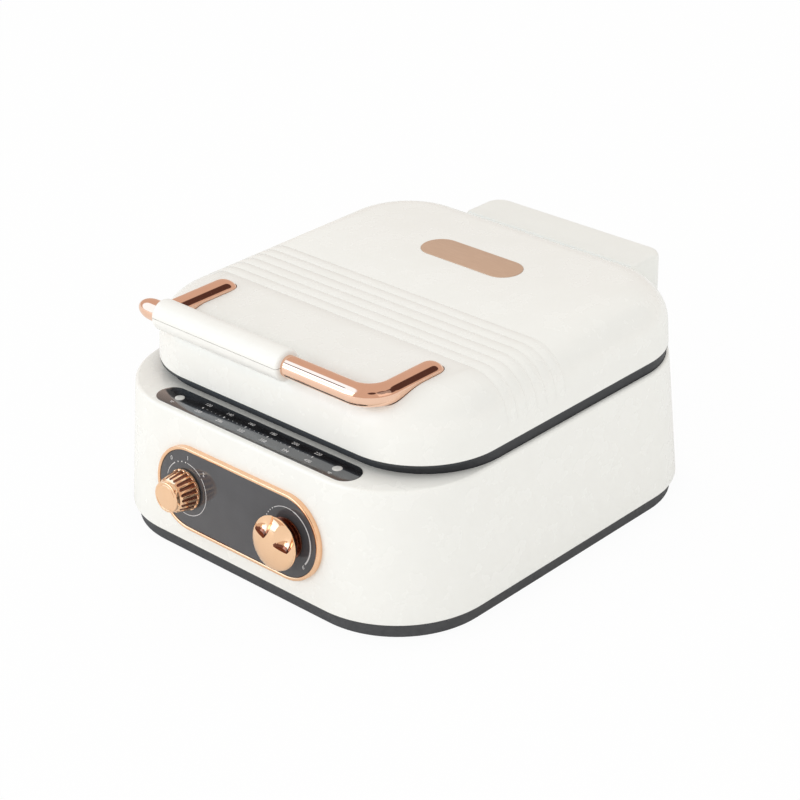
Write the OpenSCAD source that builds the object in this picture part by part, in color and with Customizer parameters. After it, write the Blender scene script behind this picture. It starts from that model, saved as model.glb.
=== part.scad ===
// Countertop waffle maker with a hinged lid, a rose-gold handle and two front knobs.
// Millimetres, +Z up, the front faces -Y. The origin is the centre of the box on the table top.

/* [Base] */
// Width of the base where its wall starts
base_w = 301; // [281:1:331]
// Depth of the base where its wall starts
base_d = 326; // [316:1:350]
// Corner radius of the base
base_corner_r = 71; // [62:1:80]
// Height of the base wall from the plinth to the deck
base_wall_h = 93; // [90:1:115]
// Radius of the deck's rounded edge
base_edge_r = 2.5; // [1.5:0.1:3.5]
// Wall thickness of the base shell
base_wall = 2.8; // [2.2:0.1:3.2]
// Inward lean of the base's walls, in degrees
base_lean = 3.9; // [3:0.1:4.3]
// Height of the dark plinth strip
plinth_h = 11; // [8:0.5:14]
// Distance that the plinth strip sits in from the base wall
plinth_inset = 3.8; // [3.6:0.1:6]
// Wall and floor thickness of the plinth tray
tray_wall = 2.5; // [2:0.1:3.5]
// Height of the feet below the plinth
foot_proud = 2; // [1.5:0.1:4]
// Radius of a rubber foot
foot_r = 11; // [8:0.5:14]

/* [Lid] */
// Width of the lid at its lower edge
lid_w = 285.3; // [276:0.1:292]
// Depth of the lid at its lower edge
lid_d = 283.9; // [278:0.1:292]
// Corner radius of the lid
lid_corner_r = 61; // [56:0.1:66]
// Distance that the middle of the lid sits behind the middle of the base
lid_back = 10.7; // [8:0.1:13]
// Height of the lid shell
lid_h = 43.3; // [42.5:0.1:56]
// Radius of the lid's rounded top edge
lid_edge_r = 29.5; // [24:0.5:31]
// Wall thickness of the lid shell
lid_wall = 2.6; // [2:0.1:3]
// Inward lean of the lid's walls, in degrees
lid_lean = 2.6; // [1.5:0.1:3]
// Height of the black rims between the deck and the lid
rim_h = 9; // [8.4:0.1:13]
// Distance that the lower rim's front sits behind the lid's lower front edge
rim_behind = 6.3; // [4:0.1:7.5]
// Gap between the two rims with the lid closed
rim_gap = 0.4; // [0.3:0.05:0.8]
// Number of fine grooves over the lid
groove_count = 7; // [5:1:8]
// Distance from groove to groove
groove_pitch = 9.6; // [8:0.1:10.5]
// Width of a groove
groove_w = 1.4; // [0.8:0.1:2.2]
// Depth of a groove
groove_depth = 0.8; // [0.4:0.1:1.2]
// Distance of the first groove behind the lid's lower front edge
groove_start = 75.2; // [68:0.1:80]
// Height above the lid's lower edge at which the grooves end
groove_foot = 10; // [6:0.5:16]
// Length of the badge on the lid
badge_l = 86; // [60:1:95]
// Width of the badge on the lid
badge_w = 29; // [18:0.5:32]
// Distance of the badge's middle in front of the lid's lower rear edge
badge_in = 81.8; // [60:0.1:95]

/* [Handle] */
// Outer diameter of the handle tube
tube_d = 15; // [13:0.1:16]
// Distance from the middle to each handle arm
arm_x = 95.5; // [88:0.5:100]
// Distance from the crossbar's axis to the lid's lower front edge
bar_ahead = -0.3; // [-0.6:0.1:3]
// Distance from the crossbar's axis back to the foot of an arm
arm_l = 58.5; // [50:0.5:61]
// Depth of the handle's axis below the lid's top
bar_sunk = 0.6; // [0:0.1:1]
// Radius of the right-hand bend, at the tube's axis
bend_r = 18; // [14:0.5:22]
// Radius of the turn down into the lid, at the tube's axis
elbow_r = 8; // [8:0.1:8.6]
// Distance that the crossbar runs on past the left arm
stub_l = 24; // [20:0.5:30]
// Outer diameter of the grip
grip_d = 22; // [21.5:0.1:24.5]
// Distance from the left arm to the left end of the grip
grip_past_arm = 2.5; // [0:0.5:8]
// Length of the grip
grip_l = 120; // [110:1:130]
// Height of the grip's parting line above the tube's axis
grip_seam = 1.2; // [0.8:0.1:5]

/* [Hinge] */
// Distance from the lid's lower rear edge to the hinge axis
hinge_back = 25.35; // [24.8:0.05:28]
// Height of the hinge axis above the lid's lower edge
hinge_up = 21; // [19:0.1:22]
// Diameter of a hinge pin
pin_d = 6; // [5:0.1:7]
// Half the distance between the two hinge ears
ear_x = 45; // [38:0.5:50]
// Thickness of a hinge ear
ear_t = 12; // [8:0.5:14]
// Outer radius of a hinge ear round its pin
ear_r = 7.5; // [6.5:0.1:7.5]
// Half the width of the hinge cover
cover_half_w = 79.5; // [68:0.5:84]
// Distance from the hinge axis to the back of the hinge cover
cover_behind = 13.5; // [12.5:0.1:16]
// Height of the hinge cover above the hinge axis
cover_above = 10.5; // [10.5:0.1:13]
// Rear corner radius of the hinge cover
cover_corner_r = 13; // [6:0.5:14]
// Wall thickness of the hinge cover
cover_wall = 2.4; // [1.8:0.1:2.4]
// Furthest opening angle of the lid, in degrees
lid_open = 100; // [90:1:100]

/* [Controls] */
// Length of the control panel over its bezel
panel_l = 152.8; // [148:1:170]
// Height of the control panel over its bezel
panel_h = 61; // [57:0.2:68]
// Height of the panel's middle above the plinth
panel_up = 42.2; // [40:0.1:46]
// Width of the rose-gold bezel
bezel_w = 2.4; // [2:0.1:5]
// Distance that the bezel stands out of the wall
bezel_out = 3.8; // [2.4:0.1:5]
// Thickness of the dark panel in front of the wall
panel_t = 3.2; // [2.4:0.1:3.6]
// Half the distance between the two knobs
knob_x = 47.8; // [40:0.1:52]
// Radius of the small knob at its foot
small_knob_r = 14.6; // [12:0.1:16]
// Radius of the small knob's cap
small_cap_r = 10.8; // [9:0.1:11]
// Distance that the small knob stands out of the wall
small_knob_out = 21.8; // [19:0.1:24]
// Number of flutes round the small knob
flutes = 20; // [12:1:24]
// Radius of the large knob
large_knob_r = 18.7; // [18:0.1:23]
// Distance that the large knob stands out of the wall
large_knob_out = 21; // [18:0.1:22.5]
// Width of the large knob's pointer blade
blade_w = 4.4; // [3:0.1:6]
// Diameter of a knob's shaft
shaft_d = 6; // [5:0.1:6.4]
// Length of the dark label strip on the deck
strip_l = 184; // [170:1:190]
// Width of the label strip
strip_w = 21.6; // [19:0.1:22.4]
// Distance of the strip from the deck's rounded front edge
strip_in = 2; // [1:0.1:2.8]
// Radius of an indicator lens
lens_r = 3.4; // [3:0.1:4.4]
// Half the distance between the two indicator lenses
lens_x = 73.8; // [60:0.5:78]

/* [Cooking plates] */
// Width and depth of a cooking plate
plate_size = 248; // [240:1:256]
// Corner radius of a cooking plate
plate_corner_r = 48; // [42:1:52]
// Depth of a plate's baking recess
recess_depth = 12; // [10:0.5:13]
// Thickness of a plate behind its recess
plate_floor = 4; // [3:0.5:5]
// Width of the flat border round a plate's recess
plate_border = 11; // [9:0.5:14]
// Height of the grid's studs
stud_h = 9; // [7:0.5:9]
// Number of studs along each side
studs = 10; // [8:2:12]
// Width of the valleys between the studs
valley_w = 8; // [6:0.5:9]
// Diameter of a tubular heater
heater_d = 6.6; // [6:0.1:7]
// Width and depth of a heater's loop
heater_size = 176; // [150:1:190]
// Depth of a heat reflector
reflector_h = 12; // [11:0.5:12.5]

/* [Hidden] */
$fn = 96;

// Fits and small parts
running = 0.05;      // radial clearance of a turning pin or shaft
slip = 0.3;          // clearance between pieces that pass each other
screw_r = 1.75;      // shank radius of the screws
screw_hole_r = 1.8;
head_r = 3.4;        // head radius of the screws
head_h = 2.2;
cut = 1;             // how far a cutter runs past the surface that it leaves

// The housing grows with plates that need more room than it has
plate_room = 17;     // least distance from a plate to the lid's lower edge
body_grow = max(0, plate_size + 2 * plate_room - min(lid_w, lid_d));
lid_full_w = lid_w + body_grow;
lid_full_d = lid_d + body_grow;
base_full_w = base_w + body_grow;
base_full_d = base_d + body_grow;

// Heights above the table top
plinth_z = foot_proud;
wall_z = foot_proud + plinth_h;
deck_z = wall_z + base_wall_h;
lid_z = deck_z + rim_h;
top_z = lid_z + lid_h;
tray_top_z = plinth_z + tray_wall;
part_z = lid_z - 2.1;                        // the level at which the two rims meet
lower_rim_top = part_z - rim_gap / 2;
upper_rim_low = part_z + rim_gap / 2;
plate_recess = 0.5;                          // how far a plate sits behind its rim's face
lower_plate_top = lower_rim_top - plate_recess;
upper_plate_low = upper_rim_low + plate_recess;
plate_h = recess_depth + plate_floor;
ledge_t = 2.5;
ledge_w = 8;

// Places along Y, from the middle of the base
lid_front_y = lid_back - lid_full_d / 2;
lid_rear_y = lid_back + lid_full_d / 2;
hinge_y = lid_rear_y + hinge_back;
hinge_z = lid_z + hinge_up;
cover_front_y = lid_rear_y + 0.85;
cover_rear_y = hinge_y + cover_behind;
cover_top_z = hinge_z + cover_above;
cover_low_z = lid_z - 2;
panel_z = wall_z + panel_up;
panel_y = -base_full_d / 2 + tan(base_lean) * panel_up;
knob_reach = max(small_knob_out * cos(base_lean) + small_cap_r * sin(base_lean),
    large_knob_out * cos(base_lean) + (large_knob_r - 2) * sin(base_lean));
front_y = panel_y - knob_reach;
middle_y = (front_y + cover_rear_y) / 2;     // the middle of the whole box, which the origin takes

// Where the deck's flat ends at the front
edge_y = -(base_full_d / 2 - tan(base_lean) * (base_wall_h - base_edge_r) - base_edge_r / cos(base_lean));

// Handle
tube_r = tube_d / 2;
bar_y = lid_front_y - bar_ahead;
bar_z = top_z - bar_sunk;
leg_y = bar_y + arm_l;
leg_end_z = bar_z - elbow_r - 0.2;
grip_x0 = -arm_x - grip_past_arm;
stub_dome = 14;                              // length of the crossbar's rounded end
channel_gap = 0.4;                           // between the tube and its channel in the lid
leg_boss_r = tube_r + 4;
leg_screw_r = 3;
leg_boss_floor = 2.2;                        // what a leg stands on in the lid
leg_boss_low = leg_end_z - leg_boss_floor;

// Rims and plates
rim_w = lid_full_w - 0.3;
rim_d = lid_full_d + 0.5;
rim_corner_r = lid_corner_r + 0.6;
rim_wall = 2.5;
rim_foot_z = deck_z - 11;
low_side = 1.9;                              // how far the lower rim's sides sit behind the upper rim's
low_d = rim_d / 2 + lid_full_d / 2 - rim_behind;
low_y = (rim_d / 2 - lid_full_d / 2 + rim_behind) / 2;
low_r = rim_corner_r - 0.3;
pocket_size = plate_size + 2;                // the rims' opening round a plate
pocket_corner_r = plate_corner_r + 1;
pan_size = pocket_size + 2 * rim_wall;       // the rims' wall round a plate
pan_corner_r = pocket_corner_r + rim_wall;
recess_size = plate_size - 2 * plate_border;
recess_corner_r = plate_corner_r - plate_border / 2;
stud_pitch = recess_size / studs;
lower_floor_z = lower_plate_top - plate_h;   // the lower plate's underside
upper_back_z = upper_plate_low + plate_h;    // the upper plate's upper side
heater_r = heater_d / 2;
lower_heater_z = lower_floor_z - slip - heater_r;
upper_heater_z = upper_back_z + slip + heater_r;
reflector_t = 0.8;
reflector_size = plate_size - 2 * ledge_w - 2;
plate_screw_at = plate_size / 2 - ledge_w / 2 - 0.5;
plate_screw_step = 50;

// Posts that carry the rims, on the diagonals of their corners
post_r = 5.5;
post_at = 0.7071 * (rim_corner_r - rim_wall - post_r - 1);
post_x = rim_w / 2 - rim_corner_r + post_at;
post_dy = rim_d / 2 - rim_corner_r + post_at;
post_floor = 6;
rib_t = 2.4;
tray_lip = 5;                                // how far the tray's wall reaches up inside the base
lid_post_low = lid_z + 7;

// Control panel, measured out from the wall
insert_gap = 0.15;
knob_gap = 0.6;
knob_foot = panel_t + knob_gap;
collar_in = 4;                               // depth of the panel's back through the wall
bracket_in = 11;
bracket_t = 1.5;
shaft_r = shaft_d / 2;
body_in = bracket_in + bracket_t;            // front face of the switch and the thermostat
body_l = 22;
shaft_in = body_in + 9;
standoff_x = 22;
standoff_y = 17;
blade_turn = -14;                            // the large knob's blade from straight up
crease_turn = 12;

module placed() { translate([0, -middle_y, 0]) children(); }

// ---------- shapes used again and again ----------

// A flat rounded rectangle
module rounded_rect(w, d, r) {
    square([w - 2 * r, d], center = true);
    square([w, d - 2 * r], center = true);
    for (sx = [-1, 1], sy = [-1, 1])
        translate([sx * (w / 2 - r), sy * (d / 2 - r)]) circle(r);
}

// A flat stadium, lying along X
module stadium(l, h) {
    square([l - h, h], center = true);
    for (s = [-1, 1]) translate([s * (l - h) / 2, 0]) circle(h / 2);
}

module slab(w, d, r, z0, z1) { translate([0, 0, z0]) linear_extrude(z1 - z0) rounded_rect(w, d, r); }

// A wall's section with a lean and a rounded top edge. x runs outward from the corner's centre.
module edge_section(r, z0, z1, edge, lean) {
    zc = z1 - edge;
    xc = r - tan(lean) * (zc - z0) - edge / cos(lean);
    polygon([[0, z0], [r, z0], [xc + edge * cos(lean), zc + edge * sin(lean)], [xc, zc],
        [xc, z1], [0, z1]]);
    intersection() {
        translate([xc, zc]) circle(edge);
        translate([xc, zc]) square(edge + 1);
    }
}

// The section above, carried round a rounded rectangle
module round_block(w, d, r, z0, z1) {
    cx = w / 2 - r;
    cy = d / 2 - r;
    for (sx = [0, 1], sy = [0, 1]) mirror([sx, 0, 0]) mirror([0, sy, 0])
        translate([cx, cy, 0]) rotate_extrude(angle = 90) children();
    rotate([90, 0, 90]) linear_extrude(2 * cx, center = true) {
        for (s = [0, 1]) mirror([s, 0]) translate([cy, 0]) children();
        translate([-cy, z0]) square([2 * cy, z1 - z0]);
    }
    rotate([90, 0, 0]) linear_extrude(2 * cy, center = true) {
        for (s = [0, 1]) mirror([s, 0]) translate([cx, 0]) children();
        translate([-cx, z0]) square([2 * cx, z1 - z0]);
    }
}

// A block with leaning walls and a rounded top edge, all faces moved in by inset
module leaning_block(w, d, r, z0, z1, edge, lean, inset = 0) {
    drop = inset > 0 ? 2 : 0;
    side = inset / cos(lean) - drop * tan(lean);
    round_block(w - 2 * side, d - 2 * side, r - side, z0 - drop, z1 - inset)
        edge_section(r - side, z0 - drop, z1 - inset, max(edge - inset, 0.4), lean);
}

module base_block(inset = 0) {
    leaning_block(base_full_w, base_full_d, base_corner_r, wall_z, deck_z, base_edge_r, base_lean, inset);
}

module lid_block(inset = 0) {
    translate([0, lid_back, 0])
        leaning_block(lid_full_w, lid_full_d, lid_corner_r, lid_z, top_z, lid_edge_r, lid_lean, inset);
}

module on_front() { translate([0, panel_y, panel_z]) rotate([90 - base_lean, 0, 0]) children(); }

inlet_z = wall_z + 28;
module on_rear() {
    translate([0, base_full_d / 2 - tan(base_lean) * (inlet_z - wall_z), inlet_z])
        rotate([90 - base_lean, 0, 180]) children();
}

module peg(r, z0, z1) { translate([0, 0, z0]) cylinder(r = r, h = z1 - z0); }

module at_posts() {
    for (sx = [-1, 1], sy = [-1, 1]) translate([sx * post_x, lid_back + sy * post_dy, 0]) children();
}

module at_plate_screws() {
    for (sx = [-1, 1], sy = [-1, 1])
        translate([sx * plate_screw_at, lid_back + sy * plate_screw_step, 0]) children();
}

tray_screw_x = base_full_w / 2 - 14;
tray_screw_y = 60;
module at_tray_screws() {
    for (sx = [-1, 1], sy = [-1, 1]) translate([sx * tray_screw_x, sy * tray_screw_y, 0]) children();
}

// ---------- base ----------

foot_in = [45, 42];                          // from the base's sides to a foot
foot_x = base_full_w / 2 - foot_in[0];
foot_y = base_full_d / 2 - foot_in[1];
foot_peg_r = 4;

module at_feet() {
    for (sx = [-1, 1], sy = [-1, 1]) translate([sx * foot_x, sy * foot_y, 0]) children();
}

module plinth_tray() placed() color("#44454a") difference() {
    w = base_full_w - 2 * plinth_inset;
    d = base_full_d - 2 * plinth_inset;
    r = base_corner_r - plinth_inset;
    slab(w, d, r, plinth_z, wall_z + tray_lip);
    slab(w - 2 * tray_wall, d - 2 * tray_wall, r - tray_wall, tray_top_z, wall_z + tray_lip + cut);
    at_feet() peg(foot_peg_r, plinth_z - cut, tray_top_z + cut);
    at_tray_screws() peg(screw_hole_r, plinth_z - cut, tray_top_z + cut);
    for (i = [-3:3], s = [-1, 1]) translate([i * 14, s * 52, plinth_z - cut])
        linear_extrude(tray_wall + 2 * cut) rotate(90) stadium(34, 4);
}

module rubber_feet() placed() color("#2c2c2e") at_feet() {
    peg(foot_r, 0, plinth_z);
    peg(foot_peg_r - 0.05, plinth_z - 0.1, tray_top_z);
    peg(foot_peg_r + 1.6, tray_top_z, tray_top_z + 2);
}

boss_top_z = wall_z + 32;
module tray_screws() placed() color("silver") at_tray_screws() {
    peg(head_r, plinth_z - 1.4, plinth_z);
    peg(screw_r, plinth_z - 0.1, boss_top_z - 20);
}

strip_mid_y = edge_y + strip_in + strip_w / 2;
lens_flange_r = lens_r + 1.2;
board_z = deck_z - 14;
board_t = 1.6;
board_post_x = lens_x - 16;

module at_lenses() { for (s = [-1, 1]) translate([s * lens_x, strip_mid_y, 0]) children(); }
module at_board_posts() { for (s = [-1, 1]) translate([s * board_post_x, strip_mid_y, 0]) children(); }

inlet_w = 34;
inlet_h = 26;
inlet_screw_x = inlet_w / 2 + 4.5;
ear_top_z = deck_z - 6;
ear_foot_z = ear_top_z - 35;
ear_screw_z = [ear_foot_z + 8, ear_top_z - 11];

module base_shell() placed() color("#f3f3ec") difference() {
    union() {
        difference() {
            base_block();
            base_block(base_wall);
        }
        intersection() {
            union() {
                at_posts() peg(post_r + 1, wall_z + 30, rim_foot_z);
                for (sx = [-1, 1], sy = [-1, 1])
                    translate([sx * post_x, lid_back + sy * post_dy, wall_z + 30])
                        rotate(atan2(sy, sx)) translate([post_r - 1, -rib_t / 2, 0]) cube([40, rib_t, 40]);
                at_tray_screws() peg(post_r, tray_top_z, boss_top_z);
                for (sx = [0, 1], sy = [-1, 1]) mirror([sx, 0, 0])
                    translate([tray_screw_x + 3, sy * tray_screw_y - rib_t / 2, wall_z + tray_lip + slip])
                        cube([20, rib_t, 25]);
                at_board_posts() peg(3.6, board_z + board_t, deck_z - cut);
            }
            union() {
                base_block(base_wall / 2);
                slab(base_full_w - 40, base_full_d - 40, base_corner_r - 20, plinth_z, wall_z + 1);
                at_tray_screws() peg(post_r, tray_top_z, wall_z + 1);
            }
        }
    }
    translate([0, lid_back, 0]) low_slab(slip, rim_foot_z, deck_z + cut);
    translate([0, lid_back, 0]) slab(pan_size + 2 * slip, pan_size + 2 * slip, pan_corner_r + slip,
        lower_ledge_z - slip, rim_foot_z + cut);
    at_posts() peg(screw_hole_r, wall_z, rim_foot_z + cut);
    at_posts() peg(head_r + 0.6, wall_z, rim_foot_z - post_floor);
    at_tray_screws() peg(screw_hole_r, plinth_z, boss_top_z - 18);
    at_lenses() peg(lens_r + insert_gap, board_z, deck_z + cut);
    at_lenses() peg(lens_flange_r + insert_gap, board_z, deck_z - base_wall);
    at_board_posts() peg(screw_hole_r - 0.6, board_z, deck_z - 6);
    on_front() translate([0, 0, -10])
        linear_extrude(20) stadium(panel_l - 2 * bezel_w - 4, panel_h - 2 * bezel_w - 4);
    on_rear() translate([-inlet_w / 2 - slip, -inlet_h / 2 - slip, -10])
        cube([inlet_w + 2 * slip, inlet_h + 2 * slip, 20]);
    on_rear() for (s = [-1, 1]) translate([s * inlet_screw_x, 0, -10]) cylinder(r = screw_hole_r, h = 20);
    for (s = [-1, 1], z = ear_screw_z) translate([s * ear_x, base_full_d / 2 - 20, z])
        rotate([-90, 0, 0]) cylinder(r = screw_hole_r, h = 40);
}

// The lower rim's outline, which sits further in at the sides and the front than the upper rim's
module low_slab(grow, z0, z1) translate([0, low_y, 0])
    slab(rim_w - 2 * low_side + 2 * grow, low_d + 2 * grow, low_r + grow, z0, z1);

// The rim that frames a plate, from its flange to the ledge that the plate lies on
module rim_ring(face, back, ledge) {
    difference() {
        union() {
            children();
            slab(pan_size, pan_size, pan_corner_r, min(face, back), max(face, back));
        }
        slab(pocket_size, pocket_size, pocket_corner_r, min(face, ledge) - (face < ledge ? cut : 0),
            max(face, ledge) + (face < ledge ? 0 : cut));
        slab(plate_size - 2 * ledge_w, plate_size - 2 * ledge_w, plate_corner_r - ledge_w,
            min(face, back) - cut, max(face, back) + cut);
    }
}

module deck_rim() placed() color("#232427") translate([0, lid_back, 0]) difference() {
    union() {
        rim_ring(lower_rim_top, lower_floor_z - ledge_t, lower_floor_z)
            low_slab(0, lower_rim_top - 3, lower_rim_top);
        difference() {
            low_slab(0, rim_foot_z, lower_rim_top - 2);
            low_slab(-rim_wall, rim_foot_z - cut, lower_rim_top - 1);
        }
        intersection() {
            low_slab(0, rim_foot_z, lower_rim_top - 2);
            for (sx = [-1, 1], sy = [-1, 1]) translate([sx * post_x, sy * post_dy, 0])
                peg(post_r, rim_foot_z - cut, lower_rim_top - 1);
        }
    }
    for (sx = [-1, 1], sy = [-1, 1]) {
        translate([sx * post_x, sy * post_dy, 0]) peg(screw_hole_r, rim_foot_z - cut, lower_rim_top - 4);
        translate([sx * plate_screw_at, sy * plate_screw_step, 0])
            peg(screw_hole_r, lower_floor_z - ledge_t - cut, lower_floor_z + cut);
    }
    slab(pocket_size, pocket_size, pocket_corner_r, lower_floor_z, lower_rim_top + cut);
}

module rim_screws() placed() color("silver") at_posts() {
    peg(head_r, rim_foot_z - post_floor - head_h, rim_foot_z - post_floor);
    peg(screw_r, rim_foot_z - post_floor - 0.1, rim_foot_z + 7);
}

// ---------- cooking plates ----------

// A plate that lies on its back, with its recess upward
module cooking_plate(back, face) {
    floor_z = back + plate_floor;
    translate([0, lid_back, 0]) difference() {
        union() {
            difference() {
                slab(plate_size, plate_size, plate_corner_r, back, face);
                slab(recess_size, recess_size, recess_corner_r, floor_z, face + cut);
            }
            intersection() {
                slab(recess_size + 1, recess_size + 1, recess_corner_r, floor_z - 1, floor_z + stud_h);
                difference() {
                    translate([-recess_size / 2, -recess_size / 2, floor_z - 1])
                        cube([recess_size, recess_size, stud_h + 1]);
                    for (i = [0:studs]) {
                        at = -recess_size / 2 + i * stud_pitch - valley_w / 2;
                        translate([at, -recess_size / 2 - cut, floor_z])
                            cube([valley_w, recess_size + 2 * cut, stud_h + cut]);
                        translate([-recess_size / 2 - cut, at, floor_z])
                            cube([recess_size + 2 * cut, valley_w, stud_h + cut]);
                    }
                }
            }
        }
        for (sx = [-1, 1], sy = [-1, 1]) translate([sx * plate_screw_at, sy * plate_screw_step, 0])
            peg(screw_hole_r, back - cut, back + 9);
    }
}

// A tube of radius r round a square loop that is open at the rear, where its two ends turn back
module heater_loop(z, up) {
    half = heater_size / 2;
    corner = 26;
    tail = 22;
    translate([0, lid_back, z]) {
        for (s = [0, 1]) mirror([s, 0, 0]) {
            translate([half, 0, 0]) rotate([90, 0, 0]) cylinder(r = heater_r, h = 2 * (half - corner), center = true);
            translate([half - corner, -(half - corner), 0]) rotate([0, 0, -90])
                rotate_extrude(angle = 90) translate([corner, 0]) circle(heater_r);
            translate([half - corner, half - corner, 0])
                rotate_extrude(angle = 90) translate([corner, 0]) circle(heater_r);
            translate([tail, half, 0]) rotate([0, 90, 0]) cylinder(r = heater_r, h = half - corner - tail);
            translate([tail, half, 0]) sphere(heater_r);
            translate([tail, half, 0]) mirror([0, 0, up ? 0 : 1]) cylinder(r = 1.6, h = heater_r + 4);
        }
        translate([0, -half, 0]) rotate([0, 90, 0]) cylinder(r = heater_r, h = 2 * (half - corner), center = true);
    }
}

clip_step = 40;
// Saddles that hold a heater to its plate. toward is the plate's face, side is 1 above it and -1 below
module heater_clips(z, toward, side) {
    low = min(toward, z + side * (heater_r + 1.6));
    high = max(toward, z + side * (heater_r + 1.6));
    translate([0, lid_back, 0]) for (sx = [-1, 1], sy = [-1, 1]) difference() {
        translate([sx * heater_size / 2 - heater_r - 4, sy * clip_step - 5, low])
            cube([2 * heater_r + 8, 10, high - low]);
        translate([sx * heater_size / 2, sy * clip_step, z]) rotate([90, 0, 0])
            cylinder(r = heater_r + 0.05, h = 12, center = true);
    }
}

// A shallow pan whose flange lies against a rim's ledge. side is 1 above the plate and -1 below it
module reflector(ledge_face, side) {
    far = ledge_face + side * reflector_h;
    difference() {
        union() {
            slab(plate_size, plate_size, plate_corner_r, min(ledge_face, ledge_face + side * reflector_t),
                max(ledge_face, ledge_face + side * reflector_t));
            slab(reflector_size, reflector_size, plate_corner_r - ledge_w, min(ledge_face, far),
                max(ledge_face, far));
        }
        slab(reflector_size - 2 * reflector_t, reflector_size - 2 * reflector_t,
            plate_corner_r - ledge_w - reflector_t,
            side > 0 ? ledge_face - cut : far + reflector_t,
            side > 0 ? far - reflector_t : ledge_face + cut);
        for (sx = [-1, 1], sy = [-1, 1]) translate([sx * plate_screw_at, sy * plate_screw_step, 0])
            peg(screw_hole_r, min(ledge_face, far) - cut, max(ledge_face, far) + cut);
    }
}

lower_ledge_z = lower_floor_z - ledge_t;
upper_ledge_z = upper_back_z + ledge_t;

module lower_plate() placed() color("#3a3a3c") cooking_plate(lower_floor_z, lower_plate_top);
module lower_heater() placed() color("#6d6a66") heater_loop(lower_heater_z, false);
module lower_heater_clips() placed() color("silver") heater_clips(lower_heater_z, lower_floor_z, -1);
module lower_reflector() placed() color("#c9ccd0") translate([0, lid_back, 0]) reflector(lower_ledge_z, -1);

module lower_plate_screws() placed() color("silver") at_plate_screws() {
    peg(head_r, lower_ledge_z - reflector_t - head_h, lower_ledge_z - reflector_t);
    peg(screw_r, lower_ledge_z - reflector_t - 0.1, lower_floor_z + 8);
}

module sensor_bulb() placed() color("#b87333")
    translate([0, lid_back, lower_floor_z - 3]) rotate([90, 0, 0]) cylinder(r = 3, h = 50, center = true);

module thermal_fuse() placed() color("#d8d2c4") {
    translate([-50, lid_back, lower_ledge_z - reflector_h - 3.4]) rotate([0, 90, 0])
        cylinder(r = 3.4, h = 26, center = true);
}

// ---------- label strip and indicator lamps ----------

strip_t = 0.35;
module label_strip() placed() color("#3b3d42") difference() {
    translate([0, strip_mid_y, deck_z]) linear_extrude(strip_t) stadium(strip_l, strip_w);
    at_lenses() peg(lens_r + insert_gap, deck_z - cut, deck_z + 5);
}

module lens() {
    peg(lens_r, deck_z - 9, deck_z + strip_t + 0.5);
    peg(lens_flange_r, deck_z - base_wall - 1.6, deck_z - base_wall - 0.1);
}
module power_lens() placed() color("#c9c6bf") translate([-lens_x, strip_mid_y, 0]) lens();
module ready_lens() placed() color("#c9c6bf") translate([lens_x, strip_mid_y, 0]) lens();

module lamp_board() placed() color("#2e6b3f") difference() {
    translate([-lens_x - 10, strip_mid_y - 6, board_z]) cube([2 * lens_x + 20, 12, board_t]);
    at_board_posts() peg(screw_hole_r, board_z - cut, board_z + board_t + cut);
}

module lamps() placed() color("#d84b3a") at_lenses() {
    peg(2.2, board_z + board_t, deck_z - 10.4);
    peg(2.7, board_z + board_t, board_z + board_t + 0.8);
}

module lamp_board_screws() placed() color("silver") at_board_posts() {
    peg(2.6, board_z - 1.4, board_z);
    peg(screw_hole_r - 0.65, board_z - 0.1, deck_z - 6.5);
}

// ---------- controls, drawn on the leaning front wall ----------

module panel_bezel() placed() color("#e2a375") on_front() linear_extrude(bezel_out) difference() {
    stadium(panel_l, panel_h);
    stadium(panel_l - 2 * bezel_w, panel_h - 2 * bezel_w);
}

module control_panel() placed() color("#4b4b50") on_front() difference() {
    union() {
        linear_extrude(panel_t) stadium(panel_l - 2 * bezel_w - 2 * insert_gap, panel_h - 2 * bezel_w - 2 * insert_gap);
        translate([0, 0, -collar_in]) linear_extrude(collar_in + 0.1)
            stadium(panel_l - 2 * bezel_w - 4.6, panel_h - 2 * bezel_w - 4.6);
        for (sx = [-1, 1], sy = [-1, 1]) translate([sx * standoff_x, sy * standoff_y, -bracket_in])
            cylinder(r = 4, h = bracket_in - collar_in + 0.1);
    }
    for (s = [-1, 1]) translate([s * knob_x, 0, -collar_in - cut]) cylinder(r = shaft_r + 1, h = 20);
    for (sx = [-1, 1], sy = [-1, 1]) translate([sx * standoff_x, sy * standoff_y, -bracket_in - cut])
        cylinder(r = screw_hole_r, h = 8);
}

module control_bracket() placed() color("#b9bcc0") on_front() difference() {
    translate([0, 0, -body_in]) linear_extrude(bracket_t) rounded_rect(2 * knob_x + 40, 46, 5);
    for (s = [-1, 1]) translate([s * knob_x, 0, -body_in - cut]) cylinder(r = 5.2, h = 4);
    for (sx = [-1, 1], sy = [-1, 1]) translate([sx * standoff_x, sy * standoff_y, -body_in - cut])
        cylinder(r = screw_hole_r, h = 4);
}

module bracket_screws() placed() color("silver") on_front()
    for (sx = [-1, 1], sy = [-1, 1]) translate([sx * standoff_x, sy * standoff_y, 0]) {
        peg(head_r, -body_in - head_h, -body_in);
        peg(screw_r, -body_in - 0.1, -bracket_in + 6);
    }

// The fixed body behind a knob, with its neck through the bracket and a blind bore for the shaft
module control_body() difference() {
    union() {
        children();
        translate([0, 0, -body_in - 0.1]) cylinder(r = 5, h = bracket_t + 3);
    }
    translate([0, 0, -shaft_in - 0.2]) cylinder(r = shaft_r + running, h = 30);
}

module selector_switch() placed() color("#4a4f57") on_front() translate([-knob_x, 0, 0]) control_body()
    translate([0, 0, -body_in - body_l]) linear_extrude(body_l) rounded_rect(28, 28, 3);

module thermostat() placed() color("#8e9297") on_front() translate([knob_x, 0, 0]) control_body()
    translate([0, 0, -body_in - body_l]) cylinder(r = 15, h = body_l);

module shaft(tip) { translate([0, 0, -shaft_in]) cylinder(r = shaft_r, h = shaft_in + tip); }

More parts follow.
